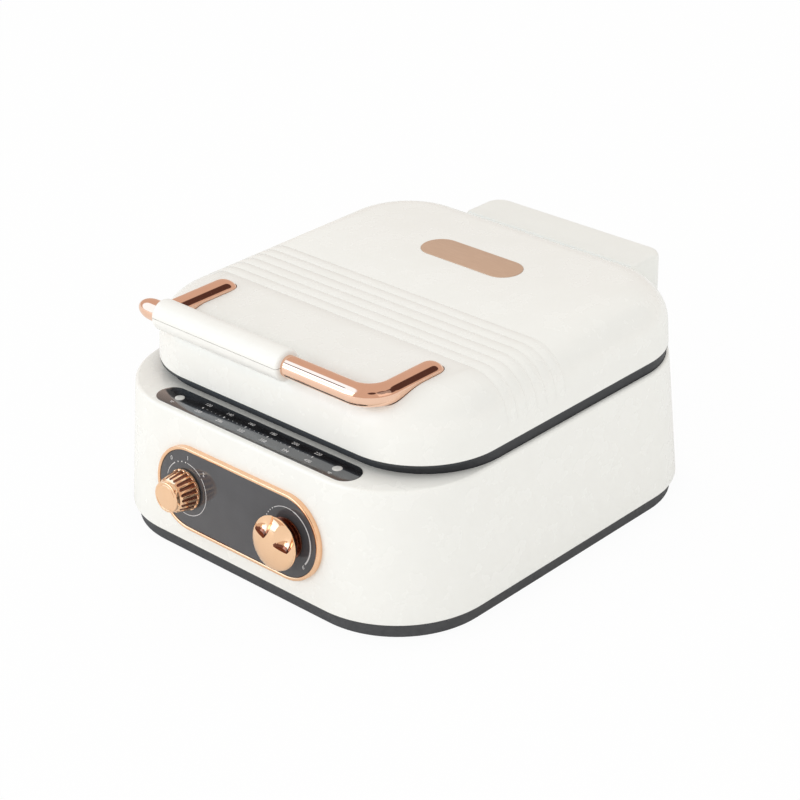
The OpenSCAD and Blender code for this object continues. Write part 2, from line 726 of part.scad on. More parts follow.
module selector_shaft() placed() color("silver") on_front() translate([-knob_x, 0, 0]) shaft(small_knob_out - 6);
module thermostat_shaft() placed() color("silver") on_front() translate([knob_x, 0, 0]) shaft(large_knob_out - 7);

module selector_knob() placed() color("#e2a375") on_front() translate([-knob_x, 0, 0]) difference() {
    rotate_extrude() polygon([[0, knob_foot], [small_knob_r, knob_foot], [small_knob_r, knob_foot + 1.6],
        [small_knob_r - 2.4, small_knob_out - 4.5], [small_cap_r, small_knob_out - 3.4],
        [small_cap_r, small_knob_out - 0.8], [small_cap_r - 0.8, small_knob_out], [0, small_knob_out]]);
    for (i = [1:flutes]) rotate(i * 360 / flutes)
        translate([small_knob_r + 0.4, 0, knob_foot + 1.6]) rotate([0, -9, 0]) cylinder(r = 1.5, h = small_knob_out);
    translate([0, 0, knob_foot - cut]) cylinder(r = shaft_r, h = small_knob_out - 6 - knob_foot + cut);
}

module temperature_knob() placed() color("#e2a375") on_front() translate([knob_x, 0, 0]) difference() {
    rotate_extrude() {
        polygon([[0, knob_foot], [large_knob_r - 4, knob_foot], [large_knob_r - 4, knob_foot + 1.2],
            [large_knob_r - 6.5, knob_foot + 2.2], [large_knob_r - 6, knob_foot + 3.6],
            [large_knob_r, large_knob_out - 7], [large_knob_r, large_knob_out - 4],
            [large_knob_r - 2, large_knob_out - 1.2], [large_knob_r - 5, large_knob_out], [0, large_knob_out]]);
    }
    // Finger scoops on both sides of the pointer blade
    intersection() {
        rotate(blade_turn) for (s = [-1, 1])
            translate([s * (blade_w / 2 + 8.4), -large_knob_r, large_knob_out + 2.6])
                rotate([-90, 0, 0]) scale([1, 1, 1]) cylinder(r = 8.8, h = 2 * large_knob_r + 2);
        rotate(-crease_turn) translate([-30, 0.5, 0]) cube([60, 40, 40]);
    }
    intersection() {
        rotate(blade_turn) for (s = [-1, 1]) translate([s * (blade_w / 2 + 8.4 + 14) - 14, -large_knob_r, large_knob_out - 6.2])
            cube([28, 2 * large_knob_r + 2, 20]);
        rotate(-crease_turn) translate([-30, 0.5, 0]) cube([60, 40, 40]);
    }
    translate([0, 0, knob_foot - cut]) cylinder(r = shaft_r, h = large_knob_out - 7 - knob_foot + cut);
}

// ---------- mains inlet and wiring ----------

inlet_in = 20;
cavity_w = 24;
cavity_h = 16.5;
cavity_in = 14;
pin_tip_in = 6.5;

module power_inlet() placed() color("#1f2022") on_rear() difference() {
    union() {
        linear_extrude(2) rounded_rect(inlet_w + 18, inlet_h + 4, 4);
        translate([-inlet_w / 2, -inlet_h / 2, -inlet_in]) cube([inlet_w, inlet_h, inlet_in + 0.1]);
    }
    translate([-cavity_w / 2, -cavity_h / 2, -cavity_in]) cube([cavity_w, cavity_h, cavity_in + 5]);
    for (x = [-7, 0, 7]) translate([x, x == 0 ? 2.5 : -1.5, -inlet_in - cut])
        linear_extrude(inlet_in) square([2, 4], center = true);
    for (s = [-1, 1]) translate([s * inlet_screw_x, 0, -cut]) cylinder(r = screw_hole_r, h = 5);
}

module inlet_pins() placed() color("#c9a24a") on_rear()
    for (x = [-7, 0, 7]) translate([x, x == 0 ? 2.5 : -1.5, -inlet_in - 8])
        linear_extrude(inlet_in + 8 - pin_tip_in) square([2, 4], center = true);

module inlet_screws() placed() color("silver") on_rear()
    for (s = [-1, 1]) translate([s * inlet_screw_x, 0, 0]) {
        peg(head_r, 2, 3.4);
        peg(screw_r, -9, 2.1);
    }

terminal = [36, 18, 15];
terminal_y = base_full_d / 2 - 62;
lead_pitch = 10;
lead_r = 2;
lead_bend = 10;
lead_z = tray_top_z + 5;
lead_end_y = panel_y + (body_in + body_l) / cos(base_lean) + 0.15;
lead_y = lead_end_y + lead_bend + 4;         // the leads' upright stretch

module at_leads() { for (i = [-1:1]) translate([knob_x + i * lead_pitch, 0, 0]) children(); }

module terminal_block() placed() color("#e7e3d6") difference() {
    translate([knob_x - terminal[0] / 2, terminal_y - terminal[1] / 2, tray_top_z]) cube(terminal);
    at_leads() translate([0, terminal_y, lead_z]) {
        cylinder(r = lead_r + 0.2, h = 20);
        rotate([90, 0, 0]) cylinder(r = lead_r, h = 30, center = true);
    }
}

module wiring_loom() placed() color("#b33a30") at_leads() {
    translate([0, terminal_y - 4, lead_z]) rotate([90, 0, 0])
        cylinder(r = lead_r, h = terminal_y - 4 - lead_y - lead_bend);
    translate([0, lead_y + lead_bend, lead_z + lead_bend]) rotate([90, 0, 90]) rotate(180)
        rotate_extrude(angle = 90) translate([lead_bend, 0]) circle(lead_r);
    translate([0, lead_y, lead_z + lead_bend]) cylinder(r = lead_r, h = panel_z - lead_z - 2 * lead_bend);
    translate([0, lead_y - lead_bend, panel_z - lead_bend]) rotate([90, 0, 90])
        rotate_extrude(angle = 90) translate([lead_bend, 0]) circle(lead_r);
    translate([0, lead_y - lead_bend, panel_z]) rotate([90, 0, 0])
        cylinder(r = lead_r, h = lead_y - lead_bend - lead_end_y);
}

// ---------- hinge ----------

arm_turn = atan2(hinge_z - (ear_foot_z + ear_top_z) / 2, hinge_y - base_full_d / 2 + 6);

module hinge_ear(side) translate([side * ear_x, 0, 0]) difference() {
    rotate([90, 0, 90]) linear_extrude(ear_t, center = true) {
        polygon([[base_full_d / 2 - 10, ear_foot_z],
            [hinge_y + ear_r * sin(arm_turn), hinge_z - ear_r * cos(arm_turn)],
            [hinge_y - ear_r * sin(arm_turn), hinge_z + ear_r * cos(arm_turn)],
            [base_full_d / 2 - 10, ear_top_z]]);
        translate([hinge_y, hinge_z]) circle(ear_r);
    }
    translate([-side * ear_x, 0, 0]) base_block();
    translate([-ear_t, hinge_y, hinge_z]) rotate([0, 90, 0]) cylinder(r = pin_d / 2 + running, h = 2 * ear_t);
    for (z = ear_screw_z) translate([0, base_full_d / 2 - 20, z])
        rotate([-90, 0, 0]) cylinder(r = screw_hole_r, h = 20 + 2);
}

module left_hinge_ear() placed() color("#ecebe4") hinge_ear(-1);
module right_hinge_ear() placed() color("#ecebe4") hinge_ear(1);

module ear_screws() placed() color("silver") for (s = [-1, 1], z = ear_screw_z) {
    inner_y = base_full_d / 2 - tan(base_lean) * (z - wall_z) - base_wall / cos(base_lean);
    translate([s * ear_x, inner_y, z]) rotate([-90, 0, 0]) {
        peg(head_r, -head_h - 0.27, -0.27);
        peg(screw_r, -0.3, 7);
    }
}

knuckle_t = 5;
knuckle_gap = 0.6;
pin_l = ear_t + 2 * knuckle_gap + 2 * knuckle_t;
module hinge_pins() placed() color("silver") for (s = [-1, 1])
    translate([s * ear_x, hinge_y, hinge_z]) rotate([0, 90, 0]) cylinder(r = pin_d / 2, h = pin_l, center = true);

slot_w = ear_t + 2 * knuckle_gap;
slot_top_z = hinge_z + 6;
cover_boss_x = [-68, -22, 22, 68];
cover_boss_z = lid_z + 9.5;
cover_edge_r = 3.5;

// The cover's outline seen from above, with round corners at the back only
module cover_outline(inset) {
    w = 2 * (cover_half_w - inset);
    y0 = cover_front_y + inset;
    y1 = cover_rear_y - inset;
    r = cover_corner_r - inset;
    translate([-w / 2, y0]) square([w, y1 - y0 - r]);
    translate([-w / 2 + r, y0]) square([w - 2 * r, y1 - y0]);
    for (s = [-1, 1]) translate([s * (w / 2 - r), y1 - r]) circle(r);
}

module hinge_cover() placed() color("#ebece7") difference() {
    union() {
        difference() {
            union() {
                translate([0, 0, cover_low_z]) linear_extrude(cover_top_z - cover_edge_r - cover_low_z) cover_outline(0);
                translate([0, 0, cover_low_z]) linear_extrude(cover_top_z - cover_low_z) cover_outline(cover_edge_r * 0.3);
            }
            translate([0, 0, cover_low_z - cut])
                linear_extrude(cover_top_z - cover_wall - cover_low_z + cut) cover_outline(cover_wall);
        }
        for (s = [-1, 1], k = [-1, 1])
            translate([s * ear_x + k * (slot_w + knuckle_t) / 2, 0, 0]) rotate([90, 0, 90])
                linear_extrude(knuckle_t, center = true)
                    translate([cover_front_y + cover_wall / 2, cover_low_z])
                        square([cover_rear_y - cover_front_y - cover_wall, cover_top_z - cover_wall / 2 - cover_low_z]);
        for (x = cover_boss_x) translate([x, lid_rear_y - 3, cover_boss_z]) rotate([-90, 0, 0])
            cylinder(r = 5, h = cover_front_y - lid_rear_y + 15);
    }
    translate([-base_full_w / 2, lid_rear_y, lid_z]) rotate([lid_lean, 0, 0])
        translate([0, -20, -20]) cube([base_full_w, 20, 60]);
    for (s = [-1, 1]) {
        translate([s * ear_x - slot_w / 2, hinge_y, cover_low_z - cut])
            cube([slot_w, cover_behind + cut, slot_top_z - cover_low_z + cut]);
        translate([s * ear_x, hinge_y, hinge_z]) rotate([0, 90, 0])
            cylinder(r = pin_d / 2, h = pin_l, center = true);
    }
    cover_screw_holes();
}

strip_plate_t = 1.5;
strip_plate_h = 11;
// Places its children on the inside of the lid's rear wall, z pointing forward into the lid
module on_lid_rear() {
    translate([0, lid_rear_y - tan(lid_lean) * (cover_boss_z - lid_z) - lid_wall / cos(lid_lean), cover_boss_z])
        rotate([90 + lid_lean, 0, 0]) children();
}

module hinge_strip() placed() color("#b9bcc0") on_lid_rear() difference() {
    linear_extrude(strip_plate_t) rounded_rect(2 * cover_boss_x[3] + 16, strip_plate_h, 3);
    for (x = cover_boss_x) translate([x, 0, -cut]) cylinder(r = screw_hole_r, h = 5);
}

module cover_screw_holes() on_lid_rear()
    for (x = cover_boss_x) translate([x, 0, -12]) cylinder(r = screw_hole_r, h = 12 + strip_plate_t);

module hinge_cover_screws() placed() color("silver") on_lid_rear() for (x = cover_boss_x)
    translate([x, 0, 0]) {
        peg(head_r, strip_plate_t, strip_plate_t + head_h);
        peg(screw_r, -11, strip_plate_t + 0.1);
    }

// ---------- lid ----------

// The handle's arm on the right: along the lid, then down into it. grow widens it for its channel
module arm(grow) translate([arm_x, 0, 0]) {
    r = tube_r + grow;
    translate([0, leg_y - elbow_r, bar_z]) rotate([90, 0, 0]) cylinder(r = r, h = arm_l - elbow_r);
    translate([0, leg_y - elbow_r, bar_z - elbow_r]) rotate([90, 0, 90])
        rotate_extrude(angle = 90) translate([elbow_r, 0]) circle(r);
    translate([0, leg_y, leg_end_z]) cylinder(r = r, h = bar_z - elbow_r - leg_end_z);
}

module lid_post() difference() {
    peg(post_r, lid_post_low, top_z);
    peg(screw_hole_r, lid_post_low - cut, lid_post_low + 12);
}

module lid_shell() placed() color("#f1f2ec") difference() {
    union() {
        difference() {
            lid_block();
            lid_block(lid_wall);
        }
        intersection() {
            lid_block(0.6);
            union() {
                for (s = [0, 1]) mirror([s, 0, 0]) {
                    translate([arm_x, leg_y, bar_z]) rotate([90, 0, 0]) cylinder(r = tube_r + channel_gap + 2.2, h = arm_l);
                    translate([arm_x, leg_y, 0]) peg(leg_boss_r, leg_boss_low, top_z);
                }
                at_posts() lid_post();
            }
        }
    }
    for (s = [0, 1]) mirror([s, 0, 0]) arm(channel_gap);
    // room for the bend where it comes down to the lid
    translate([arm_x, bar_y + bend_r, bar_z]) rotate([90, 0, -15])
        cylinder(r = tube_r + channel_gap, h = bend_r);
    for (s = [-1, 1]) translate([s * arm_x, leg_y, 0]) peg(leg_screw_r + 0.1, leg_boss_low - cut, leg_end_z + cut);
    translate([0, lid_rear_y - badge_in, top_z - 0.8]) linear_extrude(2)
        stadium(badge_l + 2 * insert_gap, badge_w + 2 * insert_gap);
    difference() {
        for (i = [0:groove_count - 1])
            translate([-lid_full_w, lid_front_y + groove_start + i * groove_pitch - groove_w / 2, lid_z + groove_foot])
                cube([2 * lid_full_w, groove_w, lid_h]);
        lid_block(groove_depth);
    }
    cover_screw_holes();
    at_posts() peg(screw_hole_r, lid_post_low - cut, lid_post_low + 12);
}

module lid_rim() placed() color("#1d1e20") translate([0, lid_back, 0]) difference() {
    union() {
        rim_ring(upper_rim_low, upper_back_z + ledge_t, upper_back_z)
            slab(rim_w, rim_d, rim_corner_r, upper_rim_low, lid_z);
        for (sx = [-1, 1], sy = [-1, 1]) translate([sx * post_x, sy * post_dy, 0])
            peg(post_r, upper_rim_low, lid_post_low);
        difference() {
            slab(lid_full_w - 2 * lid_wall - 1.6, lid_full_d - 2 * lid_wall - 1.6, lid_corner_r - lid_wall - 0.8, lid_z - 0.1, lid_z + 3);
            slab(lid_full_w - 2 * lid_wall - 5.6, lid_full_d - 2 * lid_wall - 5.6, lid_corner_r - lid_wall - 2.8, lid_z - cut, lid_z + 5);
        }
    }
    for (sx = [-1, 1], sy = [-1, 1]) {
        translate([sx * post_x, sy * post_dy, 0]) {
            peg(screw_hole_r, upper_rim_low - cut, lid_post_low + cut);
            peg(head_r + 0.3, upper_rim_low - cut, upper_rim_low + head_h + 0.4);
        }
        translate([sx * plate_screw_at, sy * plate_screw_step, 0])
            peg(screw_hole_r, upper_back_z - cut, upper_back_z + ledge_t + cut);
    }
    slab(pocket_size, pocket_size, pocket_corner_r, upper_rim_low - cut, upper_back_z);
}

module lid_rim_screws() placed() color("silver") at_posts() {
    peg(head_r, upper_rim_low + 0.4, upper_rim_low + 0.4 + head_h);
    peg(screw_r, upper_rim_low + 0.5 + head_h - 0.2, lid_post_low + 11);
}

module upper_plate() placed() color("#3a3a3c") translate([0, 0, upper_plate_low + upper_back_z]) mirror([0, 0, 1])
    cooking_plate(upper_plate_low, upper_back_z);
module upper_heater() placed() color("#6d6a66") heater_loop(upper_heater_z, true);
module upper_heater_clips() placed() color("silver") heater_clips(upper_heater_z, upper_back_z, 1);
module upper_reflector() placed() color("#c9ccd0") translate([0, lid_back, 0]) reflector(upper_ledge_z, 1);

module upper_plate_screws() placed() color("silver") at_plate_screws() {
    peg(head_r, upper_ledge_z + reflector_t, upper_ledge_z + reflector_t + head_h);
    peg(screw_r, upper_back_z - 8, upper_ledge_z + reflector_t + 0.1);
}

module upper_thermal_fuse() placed() color("#d8d2c4")
    translate([50, lid_back, upper_ledge_z + reflector_h + 3.4]) rotate([0, 90, 0])
        cylinder(r = 3.4, h = 26, center = true);

module lid_badge() placed() color("#cda98c")
    translate([0, lid_rear_y - badge_in, top_z - 0.8]) linear_extrude(1.1) stadium(badge_l, badge_w);

// ---------- handle ----------

module crossbar(grow) translate([0, bar_y, bar_z]) {
    x0 = -arm_x - stub_l + stub_dome;
    translate([x0, 0, 0]) rotate([0, 90, 0]) cylinder(r = tube_r + grow, h = arm_x - bend_r - x0);
    translate([x0, 0, 0]) rotate([0, -90, 0]) rotate_extrude() polygon(concat([[0, 0]],
        [for (a = [0:15:90]) [(tube_r + grow) * cos(a), (stub_dome + grow) * sin(a)]]));
}

module handle_bar() placed() color("#e2a375") difference() {
    union() {
        crossbar(0);
        translate([arm_x - bend_r, bar_y + bend_r, bar_z]) rotate(-90)
            rotate_extrude(angle = 90) translate([bend_r, 0]) circle(tube_r);
        intersection() {
            arm(0);
            translate([0, bar_y + bend_r, 0]) cube([200, 200, 200]);
        }
    }
    translate([arm_x, leg_y, 0]) peg(leg_screw_r + 0.05, leg_end_z - cut, bar_z);
}

module handle_left_arm() placed() color("#e2a375") difference() {
    mirror([1, 0, 0]) arm(0);
    translate([-200, bar_y, bar_z]) rotate([0, 90, 0]) cylinder(r = tube_r, h = 400);
    translate([-200, bar_y - 20, bar_z - 20]) cube([400, 25, 40]);
    translate([-arm_x, leg_y, 0]) peg(leg_screw_r + 0.05, leg_end_z - cut, bar_z);
}

module handle_screws() placed() color("silver") for (s = [-1, 1]) translate([s * arm_x, leg_y, 0]) {
    peg(6.5, leg_boss_low - head_h, leg_boss_low);
    peg(leg_screw_r, leg_boss_low - 0.1, bar_z - 1);
}

module grip() difference() {
    translate([grip_x0, bar_y, bar_z]) rotate([0, 90, 0]) cylinder(d = grip_d, h = grip_l);
    translate([grip_x0 - cut, bar_y, bar_z]) rotate([0, 90, 0]) cylinder(r = tube_r + 0.1, h = grip_l + 2 * cut);
    translate([-arm_x, bar_y + 30, bar_z]) rotate([90, 0, 0]) cylinder(r = tube_r + 0.3, h = 26);
}

module grip_upper() placed() color("#f6f5f0") intersection() {
    grip();
    translate([grip_x0 - cut, bar_y - 20, bar_z + grip_seam]) cube([grip_l + 2 * cut, 40, 20]);
}

module grip_lower() placed() color("#f6f5f0") intersection() {
    grip();
    translate([grip_x0 - cut, bar_y - 20, bar_z - 20]) cube([grip_l + 2 * cut, 40, 20 + grip_seam - 0.2]);
}

plinth_tray();
rubber_feet();
tray_screws();
base_shell();
deck_rim();
rim_screws();
lower_plate();
lower_heater();
lower_heater_clips();
lower_reflector();
lower_plate_screws();
sensor_bulb();
thermal_fuse();
label_strip();
power_lens();
ready_lens();
lamp_board();
lamps();
lamp_board_screws();
panel_bezel();
control_panel();
control_bracket();
bracket_screws();
selector_switch();
thermostat();
selector_shaft();
thermostat_shaft();
selector_knob();
temperature_knob();
power_inlet();
inlet_pins();
inlet_screws();
terminal_block();
wiring_loom();
left_hinge_ear();
right_hinge_ear();
ear_screws();
hinge_pins();
lid_shell();
lid_rim();
lid_rim_screws();
upper_plate();
upper_heater();
upper_heater_clips();
upper_reflector();
upper_plate_screws();
upper_thermal_fuse();
lid_badge();
handle_bar();
handle_left_arm();
handle_screws();
grip_upper();
grip_lower();
hinge_cover();
hinge_strip();
hinge_cover_screws();
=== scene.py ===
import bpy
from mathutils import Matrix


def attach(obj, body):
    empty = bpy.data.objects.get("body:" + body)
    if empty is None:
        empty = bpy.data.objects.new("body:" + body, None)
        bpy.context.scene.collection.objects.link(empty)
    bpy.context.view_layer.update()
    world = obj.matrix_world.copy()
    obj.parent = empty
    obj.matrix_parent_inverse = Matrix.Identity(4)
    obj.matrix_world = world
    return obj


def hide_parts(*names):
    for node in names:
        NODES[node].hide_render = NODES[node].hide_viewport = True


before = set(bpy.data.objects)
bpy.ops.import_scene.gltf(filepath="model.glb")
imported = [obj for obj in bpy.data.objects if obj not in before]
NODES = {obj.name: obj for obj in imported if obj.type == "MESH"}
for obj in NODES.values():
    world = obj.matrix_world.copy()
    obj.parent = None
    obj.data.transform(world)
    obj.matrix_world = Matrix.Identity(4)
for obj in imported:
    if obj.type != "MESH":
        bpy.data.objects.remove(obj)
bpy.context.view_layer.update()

import math
import bmesh
import bpy
from mathutils import Matrix, Vector

MM = 0.001


def mm(*values):
    return Vector(value * MM for value in values)


# ---------------------------------------------------------------- sizes, in millimetres
# The origin is in the middle of the whole closed machine, on the table. The base's own
# middle lies a little in front of it, because the hinge cover reaches further than the knobs.
BASE_Y = -4.446412
WALL_Z, DECK_Z, LID_Z, TOP_Z = 13.0, 106.0, 115.0, 158.3
BASE_W, BASE_D, BASE_R, BASE_EDGE_R, BASE_WALL = 301.0, 326.0, 71.0, 2.5, 2.8
BASE_LEAN, LID_LEAN = 3.9, 2.6  # inward lean of the walls, in degrees
BASE_TAN = math.tan(math.radians(BASE_LEAN))

LID_W, LID_D, LID_R, LID_EDGE_R, LID_WALL = 285.3, 283.9, 61.0, 29.5, 2.6
LID_Y = BASE_Y + 10.7  # the lid sits further back than the base, behind the label strip
LID_FRONT = LID_Y - LID_D / 2
LID_REAR = LID_Y + LID_D / 2
GROOVE_PITCH, GROOVE_W, GROOVE_DEPTH, GROOVE_FOOT = 9.6, 1.9, 0.5, LID_Z + 10.0
GROOVES = [LID_FRONT + 75.2 + i * GROOVE_PITCH for i in range(7)]
BADGE_L, BADGE_W, BADGE_Y = 86.0, 29.0, LID_REAR - 81.8
BADGE_SEAT, BADGE_OUT, BADGE_GAP = TOP_Z - 0.8, TOP_Z + 0.3, 0.3

MOUTH_W, MOUTH_D, MOUTH_R = 281.8, 278.45, 61.6  # the deck's opening, round the lower plate
MOUTH_Y = LID_Y + 3.275
INLET_W, INLET_Z0, INLET_Z1 = 34.6, 27.7, 54.3
REAR_INSIDE, REAR_OUTSIDE = 140.0, 170.0         # well to either side of the rear wall

TUBE_R, ARM_X, BEND_R, ELBOW_R = 7.5, 95.5, 18.0, 8.0
CHANNEL_R = TUBE_R + 0.4
BAR_Y, BAR_Z = LID_FRONT + 0.3, TOP_Z - 0.6
BAR_END_X, BAR_TIP_L = -ARM_X - 24.0, 14.0       # the crossbar's free end and its tapered tip
ELBOW_Y = BAR_Y + 58.5 - ELBOW_R
LEFT_ARM_Y = BAR_Y + 6.2                         # where the left arm starts, inside the grip
GRIP_X, GRIP_L, GRIP_R = -98.0, 120.0, 10.99
GRIP_SEAM, GRIP_GAP = BAR_Z + 1.2, 0.45

HINGE_Y, HINGE_Z = LID_REAR + 25.35, LID_Z + 21.0
COVER_HALF_W, COVER_WALL, COVER_CORNER_R = 79.5, 2.4, 13.0
COVER_FRONT, COVER_REAR = LID_REAR + 0.85, HINGE_Y + 13.5
COVER_FOOT, COVER_TOP = LID_Z - 2, HINGE_Z + 10.5
EAR_X, EAR_SLOT_W, WEB_OFFSET, WEB_W = 45, 13.2, 9.1, 5.0

PANEL_RISE = 42.2                                # from the wall's foot to the panel's middle
PANEL_Y = BASE_Y - BASE_D / 2 + BASE_TAN * PANEL_RISE
PANEL_L, PANEL_H, PANEL_T = 152.8, 61.0, 3.2
BEZEL_W, BEZEL_OUT = 2.4, 3.8
PANEL_GAP = 0.3
KNOB_X, KNOB_FOOT = 47.8, PANEL_T + 0.6
SMALL_KNOB_OUT, LARGE_KNOB_OUT, LARGE_KNOB_R = 21.78, 20.98, 18.7
SMALL_RING_R, LARGE_RING_R, PANEL_NUMBER_H = 19.2, 21.2, 4.2
ON_FRONT = (Matrix.Translation(mm(0, PANEL_Y, WALL_Z + PANEL_RISE))
            @ Matrix.Rotation(math.radians(90 - BASE_LEAN), 4, "X"))

DECK_FRONT = BASE_Y - (BASE_D / 2 - BASE_TAN * (DECK_Z - WALL_Z - BASE_EDGE_R)
                       - BASE_EDGE_R / math.cos(math.radians(BASE_LEAN)))
STRIP_L, STRIP_W, STRIP_T, LENS_X, LENS_R = 184.0, 21.6, 0.35, 73.8, 3.4
STRIP_Y = DECK_FRONT + 2 + STRIP_W / 2
TICK_PITCH, TICKS, TICKS_PER_NUMBER = 4.1, 26, 5
FIRST_TICK_X = -TICK_PITCH * (TICKS - 1) / 2
STRIP_NUMBER_H, UPPER_ROW_Y, LOWER_ROW_Y = 3.9, 5.6, -5.2
PRINT_H = 0.06


# ---------------------------------------------------------------- bench tools
ALONG_X, ALONG_Y = (0, math.pi / 2, 0), (math.pi / 2, 0, 0)  # turns a round primitive's axis


def done():
    bpy.ops.object.mode_set(mode="OBJECT")


def calm():
    if bpy.context.mode != "OBJECT":
        done()
    bpy.ops.object.select_all(action="DESELECT")


def take(obj):
    calm()
    obj.select_set(True)
    bpy.context.view_layer.objects.active = obj


def settle():
    bpy.ops.object.transform_apply(location=True, rotation=True, scale=True)


def named(name):
    """Names the primitive that was just added and settles its place into its mesh."""
    obj = bpy.context.object
    obj.name = name
    obj.data.name = name
    settle()
    return obj


def place(obj, matrix):
    take(obj)
    obj.matrix_world = matrix
    settle()
    return obj


def turned(degrees, axis="Z"):
    return Matrix.Rotation(math.radians(degrees), 4, axis)


def moved(*way):
    return Matrix.Translation(mm(*way))


LEFT_ARM, RIGHT_ARM = moved(-ARM_X, 0, 0), moved(ARM_X, 0, 0)


def edit(obj, kind="FACE"):
    take(obj)
    bpy.ops.object.mode_set(mode="EDIT")
    bpy.ops.mesh.select_mode(type=kind)


def select_all():
    bpy.ops.mesh.select_all(action="SELECT")


def pick(obj, kind, test):
    """Selects the vertices, edges or faces that pass a test, in edit mode."""
    bpy.ops.mesh.select_mode(type=kind)
    bpy.ops.mesh.select_all(action="DESELECT")
    mesh = bmesh.from_edit_mesh(obj.data)
    for item in {"VERT": mesh.verts, "EDGE": mesh.edges, "FACE": mesh.faces}[kind]:
        if test(item):
            item.select_set(True)
    mesh.select_flush_mode()
    bmesh.update_edit_mesh(obj.data)


def middle(edge):
    return (edge.verts[0].co + edge.verts[1].co) / 2


def upright(edge):
    along = (edge.verts[1].co - edge.verts[0].co).normalized()
    return abs(along.z) > 0.95


def up_at(z):
    """A test for the edges that lie wholly at a height or above it."""
    return lambda edge: min(v.co.z for v in edge.verts) > (z - 0.01) * MM


def bevel(width, segments):
    bpy.ops.mesh.bevel(offset=width * MM, segments=segments, profile=0.5, affect="EDGES",
                       clamp_overlap=False)


def merge(width=0.01):
    select_all()
    bpy.ops.mesh.remove_doubles(threshold=width * MM)


def outward():
    select_all()
    bpy.ops.mesh.normals_make_consistent(inside=False)


def slice_at(spot, normal, **how):
    """Cuts the whole mesh through along a plane."""
    select_all()
    bpy.ops.mesh.bisect(plane_co=mm(*spot), plane_no=normal, threshold=1e-6, **how)


def drop_foot(obj):
    """Takes the lowest faces away, so that a block becomes an open moulding."""
    pick(obj, "FACE", lambda f: f.normal.z < -0.9)
    bpy.ops.mesh.delete(type="FACE")


def modify(obj, kind, **values):
    take(obj)
    step = obj.modifiers.new(kind.title(), kind)
    for key, value in values.items():
        setattr(step, key, value)
    bpy.ops.object.modifier_apply(modifier=step.name)


def cut(obj, cutter):
    modify(obj, "BOOLEAN", operation="DIFFERENCE", object=cutter, solver="EXACT")
    bpy.data.objects.remove(cutter)


def soften(obj, width, segments, sharper_than):
    """Rounds every edge that is sharper than an angle, in degrees."""
    modify(obj, "BEVEL", width=width * MM, segments=segments, limit_method="ANGLE",
           angle_limit=math.radians(sharper_than))


def join(first, *others):
    take(first)
    for other in others:
        other.select_set(True)
    bpy.ops.object.join()
    return first


def spread(obj, *places):
    """Puts copies of a shape in their places, each with its own mesh, and itself in the first."""
    copies = []
    for spot in places[1:]:
        copy = obj.copy()
        copy.data = obj.data.copy()
        for collection in obj.users_collection:
            collection.objects.link(copy)
        copies.append(place(copy, spot))
    return [place(obj, places[0]), *copies]


def dress(obj, material):
    obj.data.materials.clear()
    obj.data.materials.append(material)


def finished(obj, body, slot, *nodes, angle=32):
    """Shades a dressed piece, fixes it to its body and puts it in its nodes' place."""
    take(obj)
    bpy.ops.object.shade_smooth_by_angle(angle=math.radians(angle))
    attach(obj, body)
    if nodes:
        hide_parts(*nodes)


# ---------------------------------------------------------------- shapes that pieces start from
def box(name, low, high):
    """A cube primitive between two corners."""
    calm()
    bpy.ops.mesh.primitive_cube_add(size=1, location=[(a + b) / 2 * MM for a, b in zip(low, high)],
                                    scale=[(b - a) * MM for a, b in zip(low, high)])
    return named(name)


def rod(name, radius, length, spot=(0, 0, 0), facing=(0, 0, 0), sides=96):
    """A cylinder primitive round a spot."""
    calm()
    bpy.ops.mesh.primitive_cylinder_add(vertices=sides, radius=radius * MM, depth=length * MM,
                                        location=mm(*spot), rotation=facing)
    return named(name)


def ring(name, radius, centre, facing, sides=48):
    """A bare circle of edges that a tube is drawn from."""
    calm()
    bpy.ops.mesh.primitive_circle_add(vertices=sides, radius=radius * MM, location=mm(*centre),
                                      rotation=facing)
    return named(name)


def round_block(name, w, d, r, z0, z1, y):
    """An upright block with round corners, standing round (0, y)."""
    obj = box(name, (-w / 2, y - d / 2, z0), (w / 2, y + d / 2, z1))
    edit(obj)
    pick(obj, "EDGE", upright)
    bevel(r, 28)
    merge()
    done()
    return obj


def leaning_block(name, w, d, r, z0, z1, y, edge_r, lean, segments):
    """A block with leaning walls and a rounded top edge."""
    obj = round_block(name, w, d, r, z0, z1, y)
    edit(obj)
    drop = 2 * math.tan(math.radians(lean)) * (z1 - z0)
    pick(obj, "VERT", lambda v: v.co.z > (z1 - 0.01) * MM)
    bpy.ops.transform.resize(value=((w - drop) / w, (d - drop) / d, 1),
                             center_override=mm(0, y, z1))
    pick(obj, "EDGE", up_at(z1))
    bevel(edge_r * math.tan(math.radians((90 - lean) / 2)), segments)
    done()
    return obj


def pill(name, length, height, z0, z1, y=0.0):
    """A block with a stadium outline that lies along X."""
    obj = box(name, (-length / 2, y - height / 2, z0), (length / 2, y + height / 2, z1))
    edit(obj)
    pick(obj, "EDGE", upright)
    bevel(height / 2 - 0.001, 32)
    merge(0.02)
    done()
    return obj


def round_top(obj, z, width, segments):
    """Rounds the edges at the top of a piece."""
    edit(obj)
    pick(obj, "EDGE", up_at(z))
    bevel(width, segments)
    done()


def thicken(obj, wall, foot):
    """Gives an open moulding its wall and trims its foot level."""
    modify(obj, "SOLIDIFY", thickness=wall * MM, offset=-1, use_even_offset=True)
    edit(obj)
    pick(obj, "VERT", lambda v: abs(v.co.z / MM - foot) < 0.4)
    bpy.ops.transform.resize(value=(1, 1, 0), center_override=mm(0, 0, foot))
    done()


def run(*way):
    """Extrudes what is selected along a way."""
    bpy.ops.mesh.extrude_region_move(TRANSFORM_OT_translate={"value": mm(*way)})


